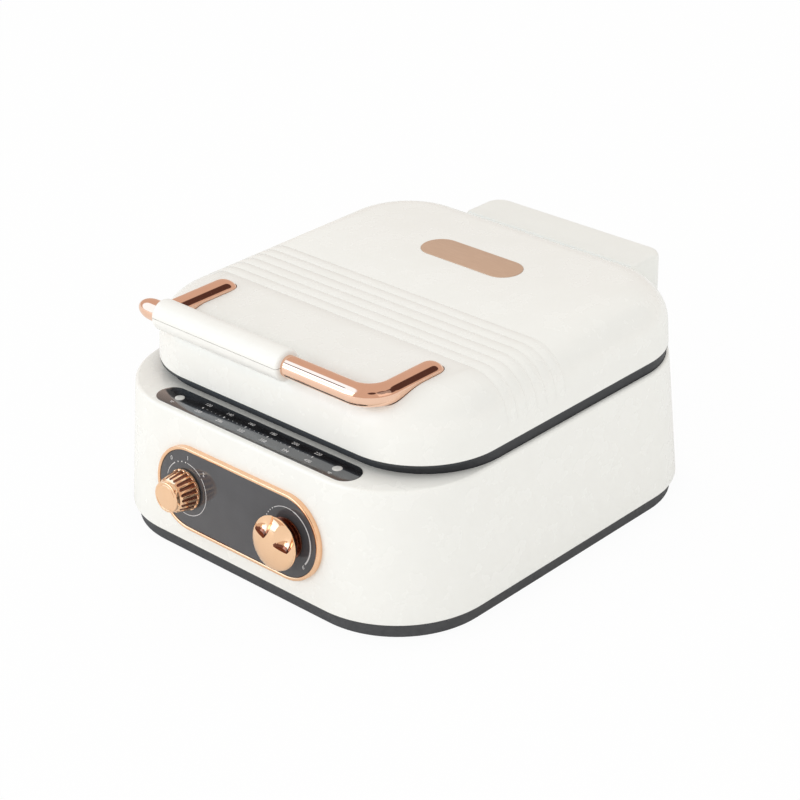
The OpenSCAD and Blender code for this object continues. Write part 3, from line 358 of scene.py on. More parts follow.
def turn(centre, axis, degrees, steps):
    """Spins what is selected round an axis."""
    bpy.ops.mesh.spin(steps=steps, angle=math.radians(-degrees), center=mm(*centre), axis=axis,
                      use_auto_merge=False)


def dome(centre, way, length, steps):
    """Closes the selected ring with half an egg that points along way."""
    centre, way = Vector(centre), Vector(way)
    reach, size = 0.0, 1.0
    for i in range(1, steps):
        angle = math.pi / 2 * i / steps
        further, smaller = math.sin(angle) * length, math.cos(angle)
        run(*(way * (further - reach)))
        bpy.ops.transform.resize(value=(smaller / size,) * 3,
                                 center_override=mm(*(centre + way * further)))
        reach, size = further, smaller
    run(*(way * (length - reach)))
    bpy.ops.mesh.merge(type="CENTER")


def elbow(x, steps):
    """Takes the selected ring from the lid's top round and down into the lid."""
    turn((x, ELBOW_Y, BAR_Z - ELBOW_R), (1, 0, 0), -90, steps)


def straight_arm(name, radius, y_start):
    """A closed arm at x 0 that runs back along the lid's top and turns down into the lid."""
    obj = ring(name, radius, (0, y_start, BAR_Z), ALONG_Y)
    edit(obj, "EDGE")
    select_all()
    run(0, ELBOW_Y - y_start, 0)
    elbow(0, 12)
    select_all()
    bpy.ops.mesh.fill_holes(sides=0)
    outward()
    done()
    return obj


def lathe(name, profile, sides):
    """Turns a profile of (radius, height) pairs by extruding and scaling a disc."""
    calm()
    bpy.ops.mesh.primitive_circle_add(vertices=sides, radius=profile[0][0] * MM,
                                      fill_type="NGON", location=mm(0, 0, profile[0][1]))
    obj = named(name)
    edit(obj)
    select_all()
    for (r0, z0), (r1, z1) in zip(profile, profile[1:]):
        run(0, 0, z1 - z0)
        bpy.ops.transform.resize(value=(r1 / r0, r1 / r0, 1), center_override=mm(0, 0, z1))
    outward()
    done()
    return obj


def number(value, size, matrix):
    """A printed number, as a thin solid."""
    calm()
    bpy.ops.object.text_add()
    obj = bpy.context.object
    obj.data.body = str(value)
    obj.data.size = size * MM
    obj.data.align_x = "CENTER"
    obj.data.align_y = "CENTER"
    obj.data.extrude = PRINT_H / 2 * MM
    bpy.ops.object.convert(target="MESH")
    obj = bpy.context.object
    edit(obj)
    merge(0.001)
    done()
    return place(obj, matrix)


# ---------------------------------------------------------------- finishes
def add(tree, kind, **sockets):
    """Adds a shader node. An underscore stands for the space in a socket's name."""
    node = tree.nodes.new("ShaderNode" + kind)
    for name, value in sockets.items():
        node.inputs[name.replace("_", " ")].default_value = value
    return node


def finish(name, colours, roughness, metal=0.0, grain=300.0, bump=0.0, bump_grain=None,
           stretch=(1, 1, 1), coat=0.0, coat_rough=0.1, specular=0.5):
    """A surface with slight shifts of colour and gloss, and a fine relief."""
    material = bpy.data.materials.new(name)
    material.use_nodes = True
    tree = material.node_tree
    link = tree.links.new
    shader = tree.nodes["Principled BSDF"]
    shader.inputs["Metallic"].default_value = metal
    shader.inputs["Specular IOR Level"].default_value = specular
    shader.inputs["Coat Weight"].default_value = coat
    shader.inputs["Coat Roughness"].default_value = coat_rough
    where = add(tree, "TexCoord")
    mapping = add(tree, "Mapping", Scale=stretch)
    link(where.outputs["Object"], mapping.inputs["Vector"])
    clouds = add(tree, "TexNoise", Scale=grain, Detail=4)
    link(mapping.outputs["Vector"], clouds.inputs["Vector"])
    ramp = add(tree, "ValToRGB")
    for stop, position, colour in zip(ramp.color_ramp.elements, (0.35, 0.65), colours):
        stop.position = position
        stop.color = (*colour, 1)
    link(clouds.outputs["Fac"], ramp.inputs["Fac"])
    link(ramp.outputs["Color"], shader.inputs["Base Color"])
    gloss = add(tree, "MapRange", To_Min=roughness[0], To_Max=roughness[1])
    link(clouds.outputs["Fac"], gloss.inputs["Value"])
    link(gloss.outputs["Result"], shader.inputs["Roughness"])
    if bump:
        fine = add(tree, "TexNoise", Scale=bump_grain or grain * 4, Detail=2)
        link(mapping.outputs["Vector"], fine.inputs["Vector"])
        relief = add(tree, "Bump", Strength=bump, Distance=0.0001)
        link(fine.outputs["Fac"], relief.inputs["Height"])
        link(relief.outputs["Normal"], shader.inputs["Normal"])
    return material


WHITE = finish("white_moulding", ((0.895, 0.895, 0.860), (0.908, 0.908, 0.875)), (0.24, 0.30),
               grain=60, bump=0.05, bump_grain=900)
# A shade darker copy of the white: painted shade for the hinge cover, which sits low behind the
# lid, and for its ears.
HINGE_WHITE_PAINTED_SHADE = finish("hinge_white", ((0.875, 0.882, 0.848), (0.888, 0.895, 0.860)), (0.28, 0.34),
                     grain=60, bump=0.05, bump_grain=900)
# A touch lighter copy of the white: painted light on the grip sleeve.
GRIP_WHITE_PAINTED_LIGHT = finish("grip_white", ((0.905, 0.90, 0.865), (0.918, 0.913, 0.878)), (0.36, 0.42),
                    grain=80, bump=0.05, bump_grain=1200)
ROSE = finish("rose_gold_tube", ((0.93, 0.62, 0.46), (0.95, 0.64, 0.48)), (0.06, 0.09), metal=1.0,
              grain=120, bump=0.02, bump_grain=500)
ROSE_KNOB = finish("rose_gold_knob", ((0.98, 0.65, 0.41), (1.0, 0.67, 0.43)), (0.07, 0.11),
                   metal=1.0, grain=150, bump=0.02, bump_grain=700)
# A dark copy of the rose gold: painted shade and painted reflection of the dark panel on the knobs'
# flutes, neck and hollows.
ROSE_PAINTED_SHADE = finish("rose_gold_burnished", ((0.20, 0.085, 0.055), (0.26, 0.11, 0.075)), (0.10, 0.16),
                   metal=1.0, grain=150, bump=0.02, bump_grain=700)
ROSE_SATIN = finish("rose_gold_satin", ((0.96, 0.61, 0.38), (0.98, 0.63, 0.40)), (0.14, 0.20),
                    metal=1.0, grain=150, bump=0.03, bump_grain=900)
BADGE = finish("brushed_copper", ((0.66, 0.475, 0.345), (0.71, 0.52, 0.385)), (0.38, 0.50),
               metal=0.5, grain=90, bump=0.25, bump_grain=260, stretch=(1, 14, 14))
PLINTH = finish("dark_plinth", ((0.055, 0.057, 0.061), (0.066, 0.068, 0.072)), (0.50, 0.60),
                grain=200, bump=0.2, bump_grain=1500)
RIM = finish("black_rim", ((0.020, 0.023, 0.027), (0.028, 0.031, 0.036)), (0.42, 0.52),
             grain=200, bump=0.15, bump_grain=1500)
PANEL = finish("dark_gloss", ((0.073, 0.072, 0.077), (0.080, 0.079, 0.085)), (0.06, 0.10),
               grain=60, bump=0.01, bump_grain=500)
STRIP = finish("dark_film", ((0.018, 0.018, 0.020), (0.024, 0.024, 0.026)), (0.10, 0.15),
               coat=1.0, coat_rough=0.04, specular=0.9, grain=120, bump=0.02, bump_grain=900)
PRINT = finish("white_print", ((0.70, 0.69, 0.69), (0.78, 0.77, 0.77)), (0.45, 0.55), grain=400)
LENS = finish("milky_lens", ((0.60, 0.60, 0.58), (0.70, 0.70, 0.68)), (0.15, 0.22), grain=500,
              bump=0.1, bump_grain=2500)
RUBBER = finish("black_rubber", ((0.018, 0.018, 0.018), (0.030, 0.030, 0.030)), (0.70, 0.85),
                grain=400, bump=0.4, bump_grain=2500)
CAST = finish("coated_casting", ((0.030, 0.030, 0.032), (0.045, 0.045, 0.048)), (0.38, 0.50),
              grain=500, bump=0.5, bump_grain=2200)
STEEL = finish("zinc_steel", ((0.55, 0.55, 0.55), (0.68, 0.68, 0.68)), (0.25, 0.38), metal=1.0,
               grain=400, bump=0.1)
SHEET = finish("bright_sheet", ((0.62, 0.63, 0.65), (0.74, 0.75, 0.77)), (0.22, 0.34), metal=1.0,
               grain=60, bump=0.15, bump_grain=300, stretch=(1, 12, 12))
SHEATH = finish("tinted_sheath", ((0.20, 0.18, 0.16), (0.34, 0.30, 0.25)), (0.35, 0.50), metal=1.0,
                grain=120, bump=0.2)
COPPER = finish("drawn_copper", ((0.62, 0.33, 0.20), (0.72, 0.40, 0.26)), (0.25, 0.38), metal=1.0,
                grain=200, bump=0.1)
CERAMIC = finish("cream_ceramic", ((0.66, 0.62, 0.52), (0.74, 0.70, 0.60)), (0.55, 0.70),
                 grain=500, bump=0.3)
BOARD = finish("circuit_board", ((0.02, 0.12, 0.04), (0.03, 0.17, 0.06)), (0.30, 0.42), grain=300)
LAMP = finish("red_lamp", ((0.60, 0.05, 0.03), (0.75, 0.08, 0.05)), (0.12, 0.20), grain=500)
MOULDED = finish("moulded_black", ((0.018, 0.019, 0.021), (0.028, 0.029, 0.031)), (0.45, 0.58),
                 grain=300, bump=0.3, bump_grain=1800)
SWITCH = finish("switch_body", ((0.06, 0.07, 0.085), (0.08, 0.09, 0.11)), (0.45, 0.58), grain=300,
                bump=0.2)
BRASS = finish("plated_brass", ((0.72, 0.58, 0.32), (0.80, 0.66, 0.38)), (0.18, 0.28), metal=1.0,
               grain=400, bump=0.1)
CREAM = finish("cream_moulding", ((0.70, 0.68, 0.60), (0.77, 0.75, 0.67)), (0.45, 0.55), grain=300,
               bump=0.2)
WIRE = finish("red_silicone", ((0.38, 0.04, 0.03), (0.48, 0.06, 0.04)), (0.45, 0.60), grain=300,
              bump=0.2)

# The solids that show as they are, and the finish that each of them gets.
KEPT = {
    PLINTH: ["plinth_tray"],
    RUBBER: ["rubber_feet"],
    RIM: ["deck_rim", "lid_rim"],
    CAST: ["lower_plate", "upper_plate"],
    SHEATH: ["lower_heater", "upper_heater"],
    SHEET: ["lower_reflector", "upper_reflector", "control_bracket", "hinge_strip"],
    STEEL: ["tray_screws", "rim_screws", "lower_plate_screws", "lamp_board_screws",
            "bracket_screws", "inlet_screws", "ear_screws", "lid_rim_screws",
            "upper_plate_screws", "handle_screws", "hinge_cover_screws", "lower_heater_clips",
            "upper_heater_clips", "hinge_pins", "selector_shaft", "thermostat_shaft",
            "thermostat"],
    COPPER: ["sensor_bulb"],
    CERAMIC: ["thermal_fuse", "upper_thermal_fuse"],
    BOARD: ["lamp_board"],
    LAMP: ["lamps"],
    SWITCH: ["selector_switch"],
    MOULDED: ["power_inlet"],
    BRASS: ["inlet_pins"],
    CREAM: ["terminal_block"],
    WIRE: ["wiring_loom"],
    HINGE_WHITE_PAINTED_SHADE: ["left_hinge_ear", "right_hinge_ear"],
}
for material, nodes in KEPT.items():
    for node in nodes:
        dress(NODES[node], material)


# ---------------------------------------------------------------- lid
def press_grooves(obj):
    """Lines across the top and down both sides, pressed in along their middle."""
    for y in GROOVES:
        for side in (-0.5, 0, 0.5):
            slice_at((0, y + side * GROOVE_W, 0), (0, 1, 0))
    slice_at((0, 0, GROOVE_FOOT), (0, 0, 1))
    pick(obj, "VERT", lambda v: v.co.z > (GROOVE_FOOT + 0.01) * MM
         and min(abs(v.co.y / MM - y) for y in GROOVES) < 0.02)
    bpy.ops.transform.shrink_fatten(value=-GROOVE_DEPTH * MM)


def bend_room():
    """A short rod across the handle's bend, where the straight channel would be too narrow."""
    lean = math.radians(15)
    return rod("bend_room", CHANNEL_R, BEND_R,
               (ARM_X - BEND_R / 2 * math.sin(lean), BAR_Y + BEND_R - BEND_R / 2 * math.cos(lean),
                BAR_Z), (math.pi / 2, 0, -lean), 64)


def lid_shell():
    obj = leaning_block("lid_shell_piece", LID_W, LID_D, LID_R, LID_Z, TOP_Z, LID_Y, LID_EDGE_R,
                        LID_LEAN, 16)
    edit(obj)
    drop_foot(obj)
    press_grooves(obj)
    done()
    thicken(obj, LID_WALL, LID_Z)
    for channel in spread(straight_arm("channel", CHANNEL_R, BAR_Y), LEFT_ARM, RIGHT_ARM):
        cut(obj, channel)
    cut(obj, bend_room())
    cut(obj, pill("recess", BADGE_L + BADGE_GAP, BADGE_W + BADGE_GAP, BADGE_SEAT, TOP_Z + 2,
                  BADGE_Y))
    dress(obj, WHITE)
    finished(obj, "lid", "white_shell", "lid_shell")


def lid_badge():
    obj = pill("lid_badge_piece", BADGE_L, BADGE_W, BADGE_SEAT, BADGE_OUT, BADGE_Y)
    round_top(obj, BADGE_OUT, 0.25, 3)
    dress(obj, BADGE)
    finished(obj, "lid", "badge_copper", "lid_badge")


# ---------------------------------------------------------------- handle
def handle_bar():
    """The crossbar, its bend and the right arm, drawn in one go, with a tapered free end."""
    tip_x = BAR_END_X + BAR_TIP_L
    obj = ring("handle_bar_piece", TUBE_R, (tip_x, BAR_Y, BAR_Z), ALONG_X, 64)
    edit(obj, "EDGE")
    select_all()
    run(ARM_X - BEND_R - tip_x, 0, 0)
    turn((ARM_X - BEND_R, BAR_Y + BEND_R, BAR_Z), (0, 0, 1), 90, 20)
    run(0, ELBOW_Y - BAR_Y - BEND_R, 0)
    elbow(ARM_X, 14)
    bpy.ops.mesh.edge_face_add()
    pick(obj, "VERT", lambda v: abs(v.co.x / MM - tip_x) < 0.01)
    dome((tip_x, BAR_Y, BAR_Z), (-1, 0, 0), BAR_TIP_L, 12)
    merge()
    outward()
    done()
    dress(obj, ROSE)
    finished(obj, "lid", "rose_gold", "handle_bar")


def handle_left_arm():
    obj = place(straight_arm("handle_left_arm_piece", TUBE_R, LEFT_ARM_Y), LEFT_ARM)
    dress(obj, ROSE)
    finished(obj, "lid", "rose_gold", "handle_left_arm")


def grip_half(node, upper):
    """One half of the white sleeve, parted along a line just above the crossbar's axis."""
    obj = rod(node + "_piece", GRIP_R, GRIP_L, (GRIP_X + GRIP_L / 2, BAR_Y, BAR_Z), ALONG_X)
    edit(obj)
    for end, width in ((GRIP_X, 3.2), (GRIP_X + GRIP_L, 2.0)):
        pick(obj, "EDGE", lambda e: abs(e.verts[0].co.x - e.verts[1].co.x) < 1e-6
             and abs(middle(e).x / MM - end) < 0.01)
        bevel(width, 8)
    done()
    cut(obj, rod("bore", TUBE_R + 0.1, 200, (GRIP_X, BAR_Y, BAR_Z), ALONG_X))
    cut(obj, rod("arm_bore", TUBE_R + 0.3, 26, (-ARM_X, BAR_Y + 17, BAR_Z), ALONG_Y, 64))
    edit(obj)
    seam = GRIP_SEAM if upper else GRIP_SEAM - GRIP_GAP
    slice_at((0, 0, seam), (0, 0, 1), use_fill=True, clear_inner=upper, clear_outer=not upper)
    done()
    # Painted light: the sleeve takes the lighter copy of the white.
    dress(obj, GRIP_WHITE_PAINTED_LIGHT)
    finished(obj, "lid", "grip_white", node)


# ---------------------------------------------------------------- hinge cover
def hinge_webs():
    """Two upright webs beside each ear, which carry the knuckles inside the cover."""
    web = box("web", (-WEB_W / 2, COVER_FRONT + 1.2, COVER_FOOT + 0.4),
              (WEB_W / 2, COVER_REAR - 1.2, COVER_TOP - 1.2))
    edit(web)
    pick(web, "EDGE", upright)
    bevel(0.6, 2)
    done()
    return spread(web, *(moved(x + side * WEB_OFFSET, 0, 0)
                         for x in (-EAR_X, EAR_X) for side in (-1, 1)))


def hinge_cover():
    obj = box("hinge_cover_piece", (-COVER_HALF_W, COVER_FRONT, COVER_FOOT),
              (COVER_HALF_W, COVER_REAR, COVER_TOP))
    edit(obj)
    pick(obj, "EDGE", lambda e: upright(e) and middle(e).y > (COVER_REAR - 1) * MM)
    bevel(COVER_CORNER_R, 14)
    pick(obj, "EDGE", lambda e: upright(e) and middle(e).y < (COVER_FRONT + 1) * MM)
    bevel(4, 6)
    pick(obj, "EDGE", up_at(COVER_TOP))
    bevel(3.5, 7)
    drop_foot(obj)
    done()
    thicken(obj, COVER_WALL, COVER_FOOT)
    ear_room = box("ear_room", (-EAR_SLOT_W / 2, HINGE_Y, COVER_FOOT - 5),
                   (EAR_SLOT_W / 2, COVER_REAR + 5, HINGE_Z + 6))
    for cutter in spread(ear_room, moved(-EAR_X, 0, 0), moved(EAR_X, 0, 0)):
        cut(obj, cutter)
    join(obj, *hinge_webs())
    # Painted shade: the cover takes the darker copy of the white.
    dress(obj, HINGE_WHITE_PAINTED_SHADE)
    finished(obj, "lid", "hinge_white", "hinge_cover")


# ---------------------------------------------------------------- base
def base_shell():
    obj = leaning_block("base_shell_piece", BASE_W, BASE_D, BASE_R, WALL_Z, DECK_Z, BASE_Y,
                        BASE_EDGE_R, BASE_LEAN, 8)
    below = 1  # the hollow starts under the foot, where a leaning wall is that much further out
    thinner = 2 * BASE_WALL - 2 * BASE_TAN * below
    cut(obj, leaning_block("hollow", BASE_W - thinner, BASE_D - thinner, BASE_R - BASE_WALL,
                           WALL_Z - below, DECK_Z - BASE_WALL, BASE_Y, 0.6, BASE_LEAN, 3))
    cut(obj, round_block("mouth", MOUTH_W, MOUTH_D, MOUTH_R, DECK_Z - 11, DECK_Z + 5, MOUTH_Y))
    cut(obj, box("inlet", (-INLET_W / 2, REAR_INSIDE, INLET_Z0),
                 (INLET_W / 2, REAR_OUTSIDE, INLET_Z1)))
    dress(obj, WHITE)
    finished(obj, "base", "white_shell", "base_shell")


# ---------------------------------------------------------------- control panel
def panel_bezel():
    obj = pill("panel_bezel_piece", PANEL_L, PANEL_H, 0, BEZEL_OUT)
    edit(obj)
    pick(obj, "FACE", lambda f: abs(f.normal.z) > 0.9)
    bpy.ops.mesh.inset(thickness=BEZEL_W * MM, use_even_offset=True)
    bpy.ops.mesh.bridge_edge_loops()
    top = up_at(BEZEL_OUT)
    pick(obj, "EDGE", lambda e: top(e) and len({round(f.normal.z) for f in e.link_faces}) == 2)
    bevel(0.7, 4)
    done()
    place(obj, ON_FRONT)
    dress(obj, ROSE_SATIN)
    finished(obj, "base", "rose_gold", "panel_bezel")


def control_panel():
    smaller = 2 * BEZEL_W + PANEL_GAP
    obj = pill("control_panel_piece", PANEL_L - smaller, PANEL_H - smaller, -2, PANEL_T)
    round_top(obj, PANEL_T, 0.3, 3)
    place(obj, ON_FRONT)
    dress(obj, PANEL)
    finished(obj, "base", "panel_gloss", "control_panel")


def arc(x, radius, width, start, sweep):
    """A thin printed arc, clockwise from start, in degrees from straight up."""
    obj = box("arc", (-0.01, radius - width / 2, 0), (0.01, radius + width / 2, PRINT_H))
    edit(obj)
    pick(obj, "FACE", lambda f: f.normal.x > 0.9)
    turn((0, 0, 0), (0, 0, 1), -sweep, max(4, int(sweep / 4)))
    outward()
    done()
    return place(obj, moved(x, 0, PANEL_T) @ turned(-start))


def dots(x, radius, size, angles):
    """Printed dots of one size at angles round a knob."""
    obj = rod("dot", size, PRINT_H, sides=16)
    round_top(obj, PRINT_H / 2, 0.02, 1)
    centre = moved(x, 0, PANEL_T + PRINT_H / 2)
    return spread(obj, *(centre @ turned(-angle) @ moved(0, radius, 0) for angle in angles))


def panel_number(x, radius, angle, value):
    way = math.radians(angle)
    return number(value, PANEL_NUMBER_H, moved(x + radius * math.sin(way),
                                               radius * math.cos(way), PANEL_T + PRINT_H / 2))


def panel_print():
    marks = [arc(-KNOB_X, SMALL_RING_R, 0.45, start, sweep)
             for start, sweep in ((-75, 37), (3, 42), (49, 141))]
    marks += [arc(KNOB_X, LARGE_RING_R, width, start, sweep)
              for width, start, sweep in ((0.45, -35, 50), (0.75, 15, 60), (1.05, 75, 54))]
    marks += dots(-KNOB_X, SMALL_RING_R, 0.5, (-37, -25, -13, -2))
    marks += dots(KNOB_X, LARGE_RING_R, 0.45, (-70, -62.5, -55, -47.5, -40))
    marks += [panel_number(-KNOB_X, 23.0, -39, 0), panel_number(-KNOB_X, 23.0, 4, 1),
              panel_number(-KNOB_X, 23.4, 46, 2), panel_number(KNOB_X, 22.0, 137, 6)]
    obj = join(*marks)
    obj.name = "panel_print"
    place(obj, ON_FRONT)
    dress(obj, PRINT)
    finished(obj, "base", "grip_white")


# ---------------------------------------------------------------- label strip
def label_strip():
    top = DECK_Z + STRIP_T
    obj = pill("label_strip_piece", STRIP_L, STRIP_W, DECK_Z, top, STRIP_Y)
    round_top(obj, top, 0.15, 2)
    dress(obj, STRIP)
    finished(obj, "base", "strip_film", "label_strip", angle=40)


def lenses():
    obj = rod("lens", LENS_R, 9, (0, STRIP_Y, DECK_Z - 4.05), sides=48)
    edit(obj)
    pick(obj, "FACE", lambda f: f.normal.z > 0.9)
    for inset, rise in ((0.5, 0.25), (1.2, 0.08)):
        bpy.ops.mesh.inset(thickness=inset * MM)
        bpy.ops.transform.translate(value=mm(0, 0, rise))
    done()
    pair = spread(obj, moved(-LENS_X, 0, 0), moved(LENS_X, 0, 0))
    for obj, node in zip(pair, ("power_lens", "ready_lens")):
        obj.name = node + "_piece"
        dress(obj, LENS)
        finished(obj, "base", "lens_clear", node, angle=50)


def on_strip(x, y):
    return moved(x, STRIP_Y + y, DECK_Z + STRIP_T)


def bars(w, d, spots):
    """Small printed bars of one size on the strip."""
    obj = box("bar", (-w / 2, -d / 2, 0), (w / 2, d / 2, 0.05))
    edit(obj)
    pick(obj, "EDGE", upright)
    bevel(0.1, 1)
    done()
    return spread(obj, *(on_strip(x, y) for x, y in spots))


def strip_print():
    ticks = [(FIRST_TICK_X + i * TICK_PITCH, 0.3) for i in range(TICKS)]
    long_ticks = ticks[::TICKS_PER_NUMBER]
    marks = bars(0.8, 1.6, long_ticks)
    marks += bars(0.5, 0.5, [tick for tick in ticks if tick not in long_ticks])
    marks += bars(3.2, 0.5, [(-LENS_X, -6.6), (LENS_X, -6.6)])
    marks += bars(1.8, 0.4, [(-LENS_X, -7.8), (LENS_X, -7.8)])
    for i, (x, _) in enumerate(long_ticks):
        marks += [number(120 + 20 * i, STRIP_NUMBER_H, on_strip(x, UPPER_ROW_Y)),
                  number(250 + 36 * i, STRIP_NUMBER_H, on_strip(x + 1.25, LOWER_ROW_Y))]
    obj = join(*marks)
    obj.name = "strip_print"
    dress(obj, PRINT)
    finished(obj, "base", "grip_white")


# ---------------------------------------------------------------- knobs
# They are made upright round the origin, z 0 being the wall, and then put on the front.
def burnish(obj, test):
    """Paints shade and dark reflection: gives a dark copy of the rose gold to the faces whose
    height, radius and normal pass a test.
    """
    obj.data.materials.append(ROSE_PAINTED_SHADE)
    edit(obj)
    pick(obj, "FACE", lambda f: test(f.calc_center_median().z / MM,
                                     f.calc_center_median().xy.length / MM, f.normal))
    obj.active_material_index = 1
    bpy.ops.object.material_slot_assign()
    done()


def flutes(count):
    """Tapered cutters all round the small knob, blunt at their feet, joined into one."""
    length = 14
    calm()
    bpy.ops.mesh.primitive_cone_add(vertices=16, radius1=1.95 * MM, radius2=1.35 * MM,
                                    depth=length * MM)
    obj = named("flute")
    edit(obj)
    pick(obj, "EDGE", lambda e: max(v.co.z for v in e.verts) < (1 - length / 2) * MM)
    bevel(0.9, 3)
    done()
    seat = moved(13.85, 0, KNOB_FOOT + 1.6 + length / 2) @ turned(-10, "Y")
    return join(*spread(obj, *(turned(i * 360 / count) @ seat for i in range(count))))


def selector_knob():
    foot, out = KNOB_FOOT, SMALL_KNOB_OUT
    obj = lathe("selector_knob_piece", [
        (13.6, foot), (14.3, foot + 0.2), (14.6, foot + 0.7), (14.5, foot + 1.8),
        (13.2, foot + 7), (12.2, out - 4.6), (11.2, out - 3.6), (10.8, out - 3.2),
        (10.8, out - 0.7), (10.6, out - 0.2), (10.1, out), (9.3, out), (9.1, out - 0.25),
        (8.5, out - 0.25), (8.3, out)], 160)
    cut(obj, flutes(20))
    soften(obj, 0.18, 2, 35)
    dress(obj, ROSE_KNOB)
    # Painted shade and painted reflection of the dark panel inside the flutes, between the foot and
    # the cap.
    burnish(obj, lambda z, r, n: foot + 1.9 < z < out - 4.2 and r < 14.1 - 0.152 * (z - foot))
    place(obj, ON_FRONT @ moved(-KNOB_X, 0, 0))
    finished(obj, "selector", "rose_gold_knob", "selector_knob", angle=38)


def scoops():
    """Egg-shaped cutters with a flat end, for the hollows on both sides of the pointer fin."""
    calm()
    bpy.ops.mesh.primitive_uv_sphere_add(segments=72, ring_count=48, radius=1)
    bpy.context.object.scale = mm(9.6, 18.4, 9.8)
    obj = named("scoop")
    edit(obj)
    slice_at((0, -14, 0), (0, 1, 0), use_fill=True, clear_inner=True)
    done()
    return spread(obj, *(turned(-14) @ moved(x, 17.2, LARGE_KNOB_OUT + 2.2)
                         for x in (-10.6, 10.6)))


def temperature_knob():
    foot, out, r = KNOB_FOOT, LARGE_KNOB_OUT, LARGE_KNOB_R
    obj = lathe("temperature_knob_piece", [
        (r - 4.4, foot), (r - 4.1, foot + 0.3), (r - 4.3, foot + 1.2), (r - 6.4, foot + 1.6),
        (r - 6.4, foot + 2.8), (r - 4.0, foot + 4.6), (r - 0.8, out - 8.4), (r, out - 7.0),
        (r, out - 6.0), (r - 0.3, out - 4.9), (r - 1.1, out - 3.8), (r - 2.6, out - 2.8),
        (r - 5.0, out - 1.8), (r - 8.0, out - 0.9), (r - 11.5, out - 0.3), (r - 15.0, out)], 128)
    for scoop in scoops():
        cut(obj, scoop)
    soften(obj, 0.3, 3, 28)
    dress(obj, ROSE_KNOB)
    # Painted shade on the neck next to the panel, and on the walls of the hollows that face one
    # way.
    burnish(obj, lambda z, r, n: (z < out - 8.6 and 9 < r < 18)
            or (r < 15.9 and z > out - 7 and n.x * 0.24 + n.y * 0.97 > 0.42))
    place(obj, ON_FRONT @ moved(KNOB_X, 0, 0))
    finished(obj, "temperature_dial", "rose_gold_knob", "temperature_knob", angle=38)


lid_shell()
lid_badge()
handle_bar()
handle_left_arm()
grip_half("grip_upper", True)
grip_half("grip_lower", False)
hinge_cover()
base_shell()
panel_bezel()
control_panel()
panel_print()
label_strip()
lenses()
strip_print()
selector_knob()
temperature_knob()


# ---------------------------------------------------------------- floor, light and camera
def floor():
    """A matt white floor that takes the shadow and looks white to the camera."""
    calm()
    bpy.ops.mesh.primitive_plane_add(size=12, location=(0, 0, -0.0001))
    obj = named("floor")
    material = bpy.data.materials.new("floor_white")
    material.use_nodes = True
    tree = material.node_tree
    link = tree.links.new
    shader = tree.nodes["Principled BSDF"]
    shader.inputs["Base Color"].default_value = (0.9, 0.9, 0.9, 1)
    shader.inputs["Roughness"].default_value = 0.8
    shader.inputs["Specular IOR Level"].default_value = 0.1
    glow = add(tree, "Emission", Color=(1, 1, 1, 1))
    seen = add(tree, "LightPath")
    most = add(tree, "Math")
    most.operation = "MAXIMUM"
    link(seen.outputs["Is Camera Ray"], most.inputs[0])
    link(seen.outputs["Is Transmission Ray"], most.inputs[1])
    share = add(tree, "Math")
    share.operation = "MULTIPLY"
    link(most.outputs[0], share.inputs[0])
    share.inputs[1].default_value = 0.95
    mix = add(tree, "MixShader")
    link(share.outputs[0], mix.inputs[0])
    link(shader.outputs[0], mix.inputs[1])
    link(glow.outputs[0], mix.inputs[2])
    link(mix.outputs[0], tree.nodes["Material Output"].inputs["Surface"])
    dress(obj, material)


WARM_ROOM, WINDOW, FURNITURE = (0.68, 0.54, 0.47), (1.1, 1.5, 1.9), (0.09, 0.045, 0.038)
# What the metal mirrors in that room: a colour, the way to it, and the angles at which it
# starts to fade and has faded out, in degrees.
IN_THE_ROOM = [
    (WINDOW, (-0.62, -0.60, 0.50), 30, 36),
    (FURNITURE, (0.55, 0.65, 0.52), 21, 25),
    (FURNITURE, (-0.60, -0.74, 0.30), 5, 8),
    (FURNITURE, (-0.62, -0.50, 0.60), 2, 4),
    (FURNITURE, (0.75, 0.28, 0.52), 15, 19),
    (FURNITURE, (0.71, -0.12, 0.60), 12, 16),
    (FURNITURE, (0.50, -0.47, 0.66), 8, 12),
]


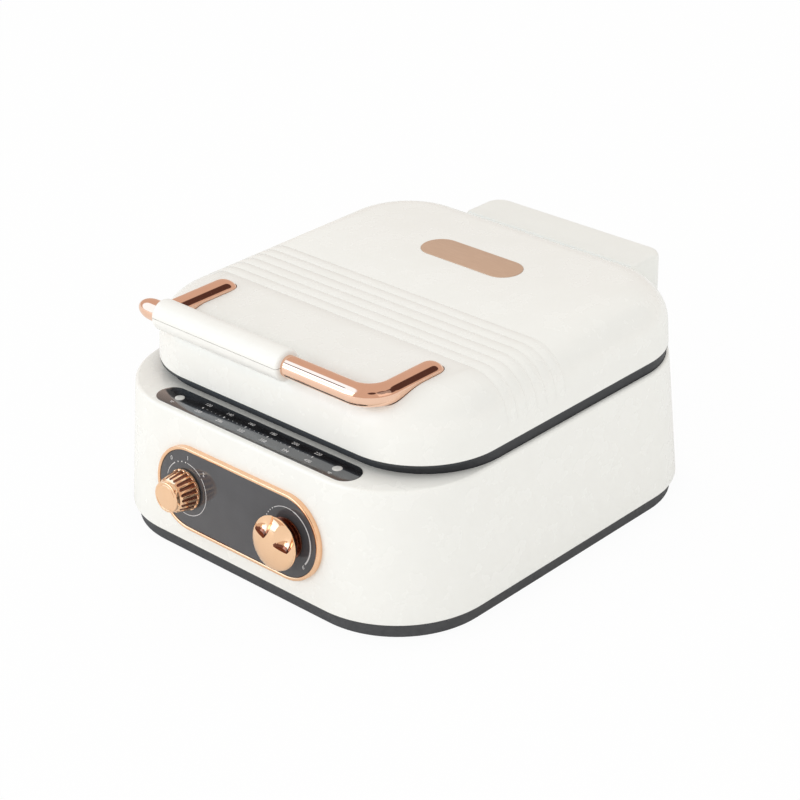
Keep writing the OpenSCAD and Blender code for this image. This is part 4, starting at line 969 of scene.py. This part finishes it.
def sky():
    """White to the camera, soft white light, and a warm room for mirror rays only."""
    world = bpy.data.worlds.new("studio")
    bpy.context.scene.world = world
    world.use_nodes = True
    tree = world.node_tree
    link = tree.links.new
    light = tree.nodes["Background"]
    light.inputs["Color"].default_value = (1.0, 0.992, 0.975, 1)
    light.inputs["Strength"].default_value = 0.93
    plain = add(tree, "Background", Color=(1, 1, 1, 1))
    mirror = add(tree, "Background")
    seen = add(tree, "LightPath")
    where = add(tree, "TexCoord")

    def near(way, inner, outer):
        """1 within the inner angle round a direction, 0 beyond the outer one."""
        dotted = add(tree, "VectorMath")
        dotted.operation = "DOT_PRODUCT"
        link(where.outputs["Generated"], dotted.inputs[0])
        dotted.inputs[1].default_value = Vector(way).normalized()
        fade = add(tree, "MapRange", From_Min=math.cos(math.radians(outer)),
                   From_Max=math.cos(math.radians(inner)))
        fade.interpolation_type = "SMOOTHSTEP"
        link(dotted.outputs["Value"], fade.inputs["Value"])
        return fade.outputs["Result"]

    def either(share, first, second):
        mix = add(tree, "MixShader")
        link(share, mix.inputs[0])
        link(first, mix.inputs[1])
        link(second, mix.inputs[2])
        return mix.outputs[0]

    below = None
    for colour, way, inner, outer in IN_THE_ROOM:
        mix = add(tree, "Mix")
        mix.data_type = "RGBA"
        link(near(way, inner, outer), mix.inputs["Factor"])
        if below:
            link(below, mix.inputs[6])
        else:
            mix.inputs[6].default_value = (*WARM_ROOM, 1)
        mix.inputs[7].default_value = (*colour, 1)
        below = mix.outputs[2]
    link(below, mirror.inputs["Color"])
    lit = either(seen.outputs["Is Glossy Ray"], light.outputs[0], mirror.outputs[0])
    link(either(seen.outputs["Is Camera Ray"], lit, plain.outputs[0]),
         tree.nodes["World Output"].inputs["Surface"])


def lamp(name, where, size, power):
    """A soft area lamp, in metres and watts, that faces the machine."""
    data = bpy.data.lights.new(name, "AREA")
    data.shape = "RECTANGLE"
    data.size, data.size_y = size
    data.energy = power
    obj = bpy.data.objects.new(name, data)
    bpy.context.scene.collection.objects.link(obj)
    obj.location = where
    obj.rotation_euler = (mm(0, 0, 80) - Vector(where)).to_track_quat("-Z", "Y").to_euler()


def camera():
    """Looks down at the front right corner, with a slight roll."""
    around, above, roll = (math.radians(v) for v in (43.448, 27.52, -1.17))
    back = Vector((math.sin(around) * math.cos(above), -math.cos(around) * math.cos(above),
                   math.sin(above)))
    side = Vector((math.cos(around), math.sin(around), 0))
    up = back.cross(side)
    side, up = (side * math.cos(roll) + up * math.sin(roll),
                -side * math.sin(roll) + up * math.cos(roll))
    distance, aside, higher = 1.5742, -0.003595, 0.010724
    spot = mm(0, BASE_Y, 62) + back * distance + side * aside + up * higher
    data = bpy.data.cameras.new("camera")
    data.lens = 101.21
    data.sensor_width = 36
    data.clip_start = 0.05
    obj = bpy.data.objects.new("camera", data)
    bpy.context.scene.collection.objects.link(obj)
    obj.matrix_world = Matrix.Translation(spot) @ Matrix((side, up, back)).transposed().to_4x4()
    bpy.context.scene.camera = obj


floor()
sky()
lamp("key", (-0.9, -2.0, 0.8), (1.6, 1.2), 10)
lamp("fill", (1.9, -0.3, 1.1), (1.4, 1.4), 2)
camera()
bpy.context.scene.view_settings.view_transform = "Standard"
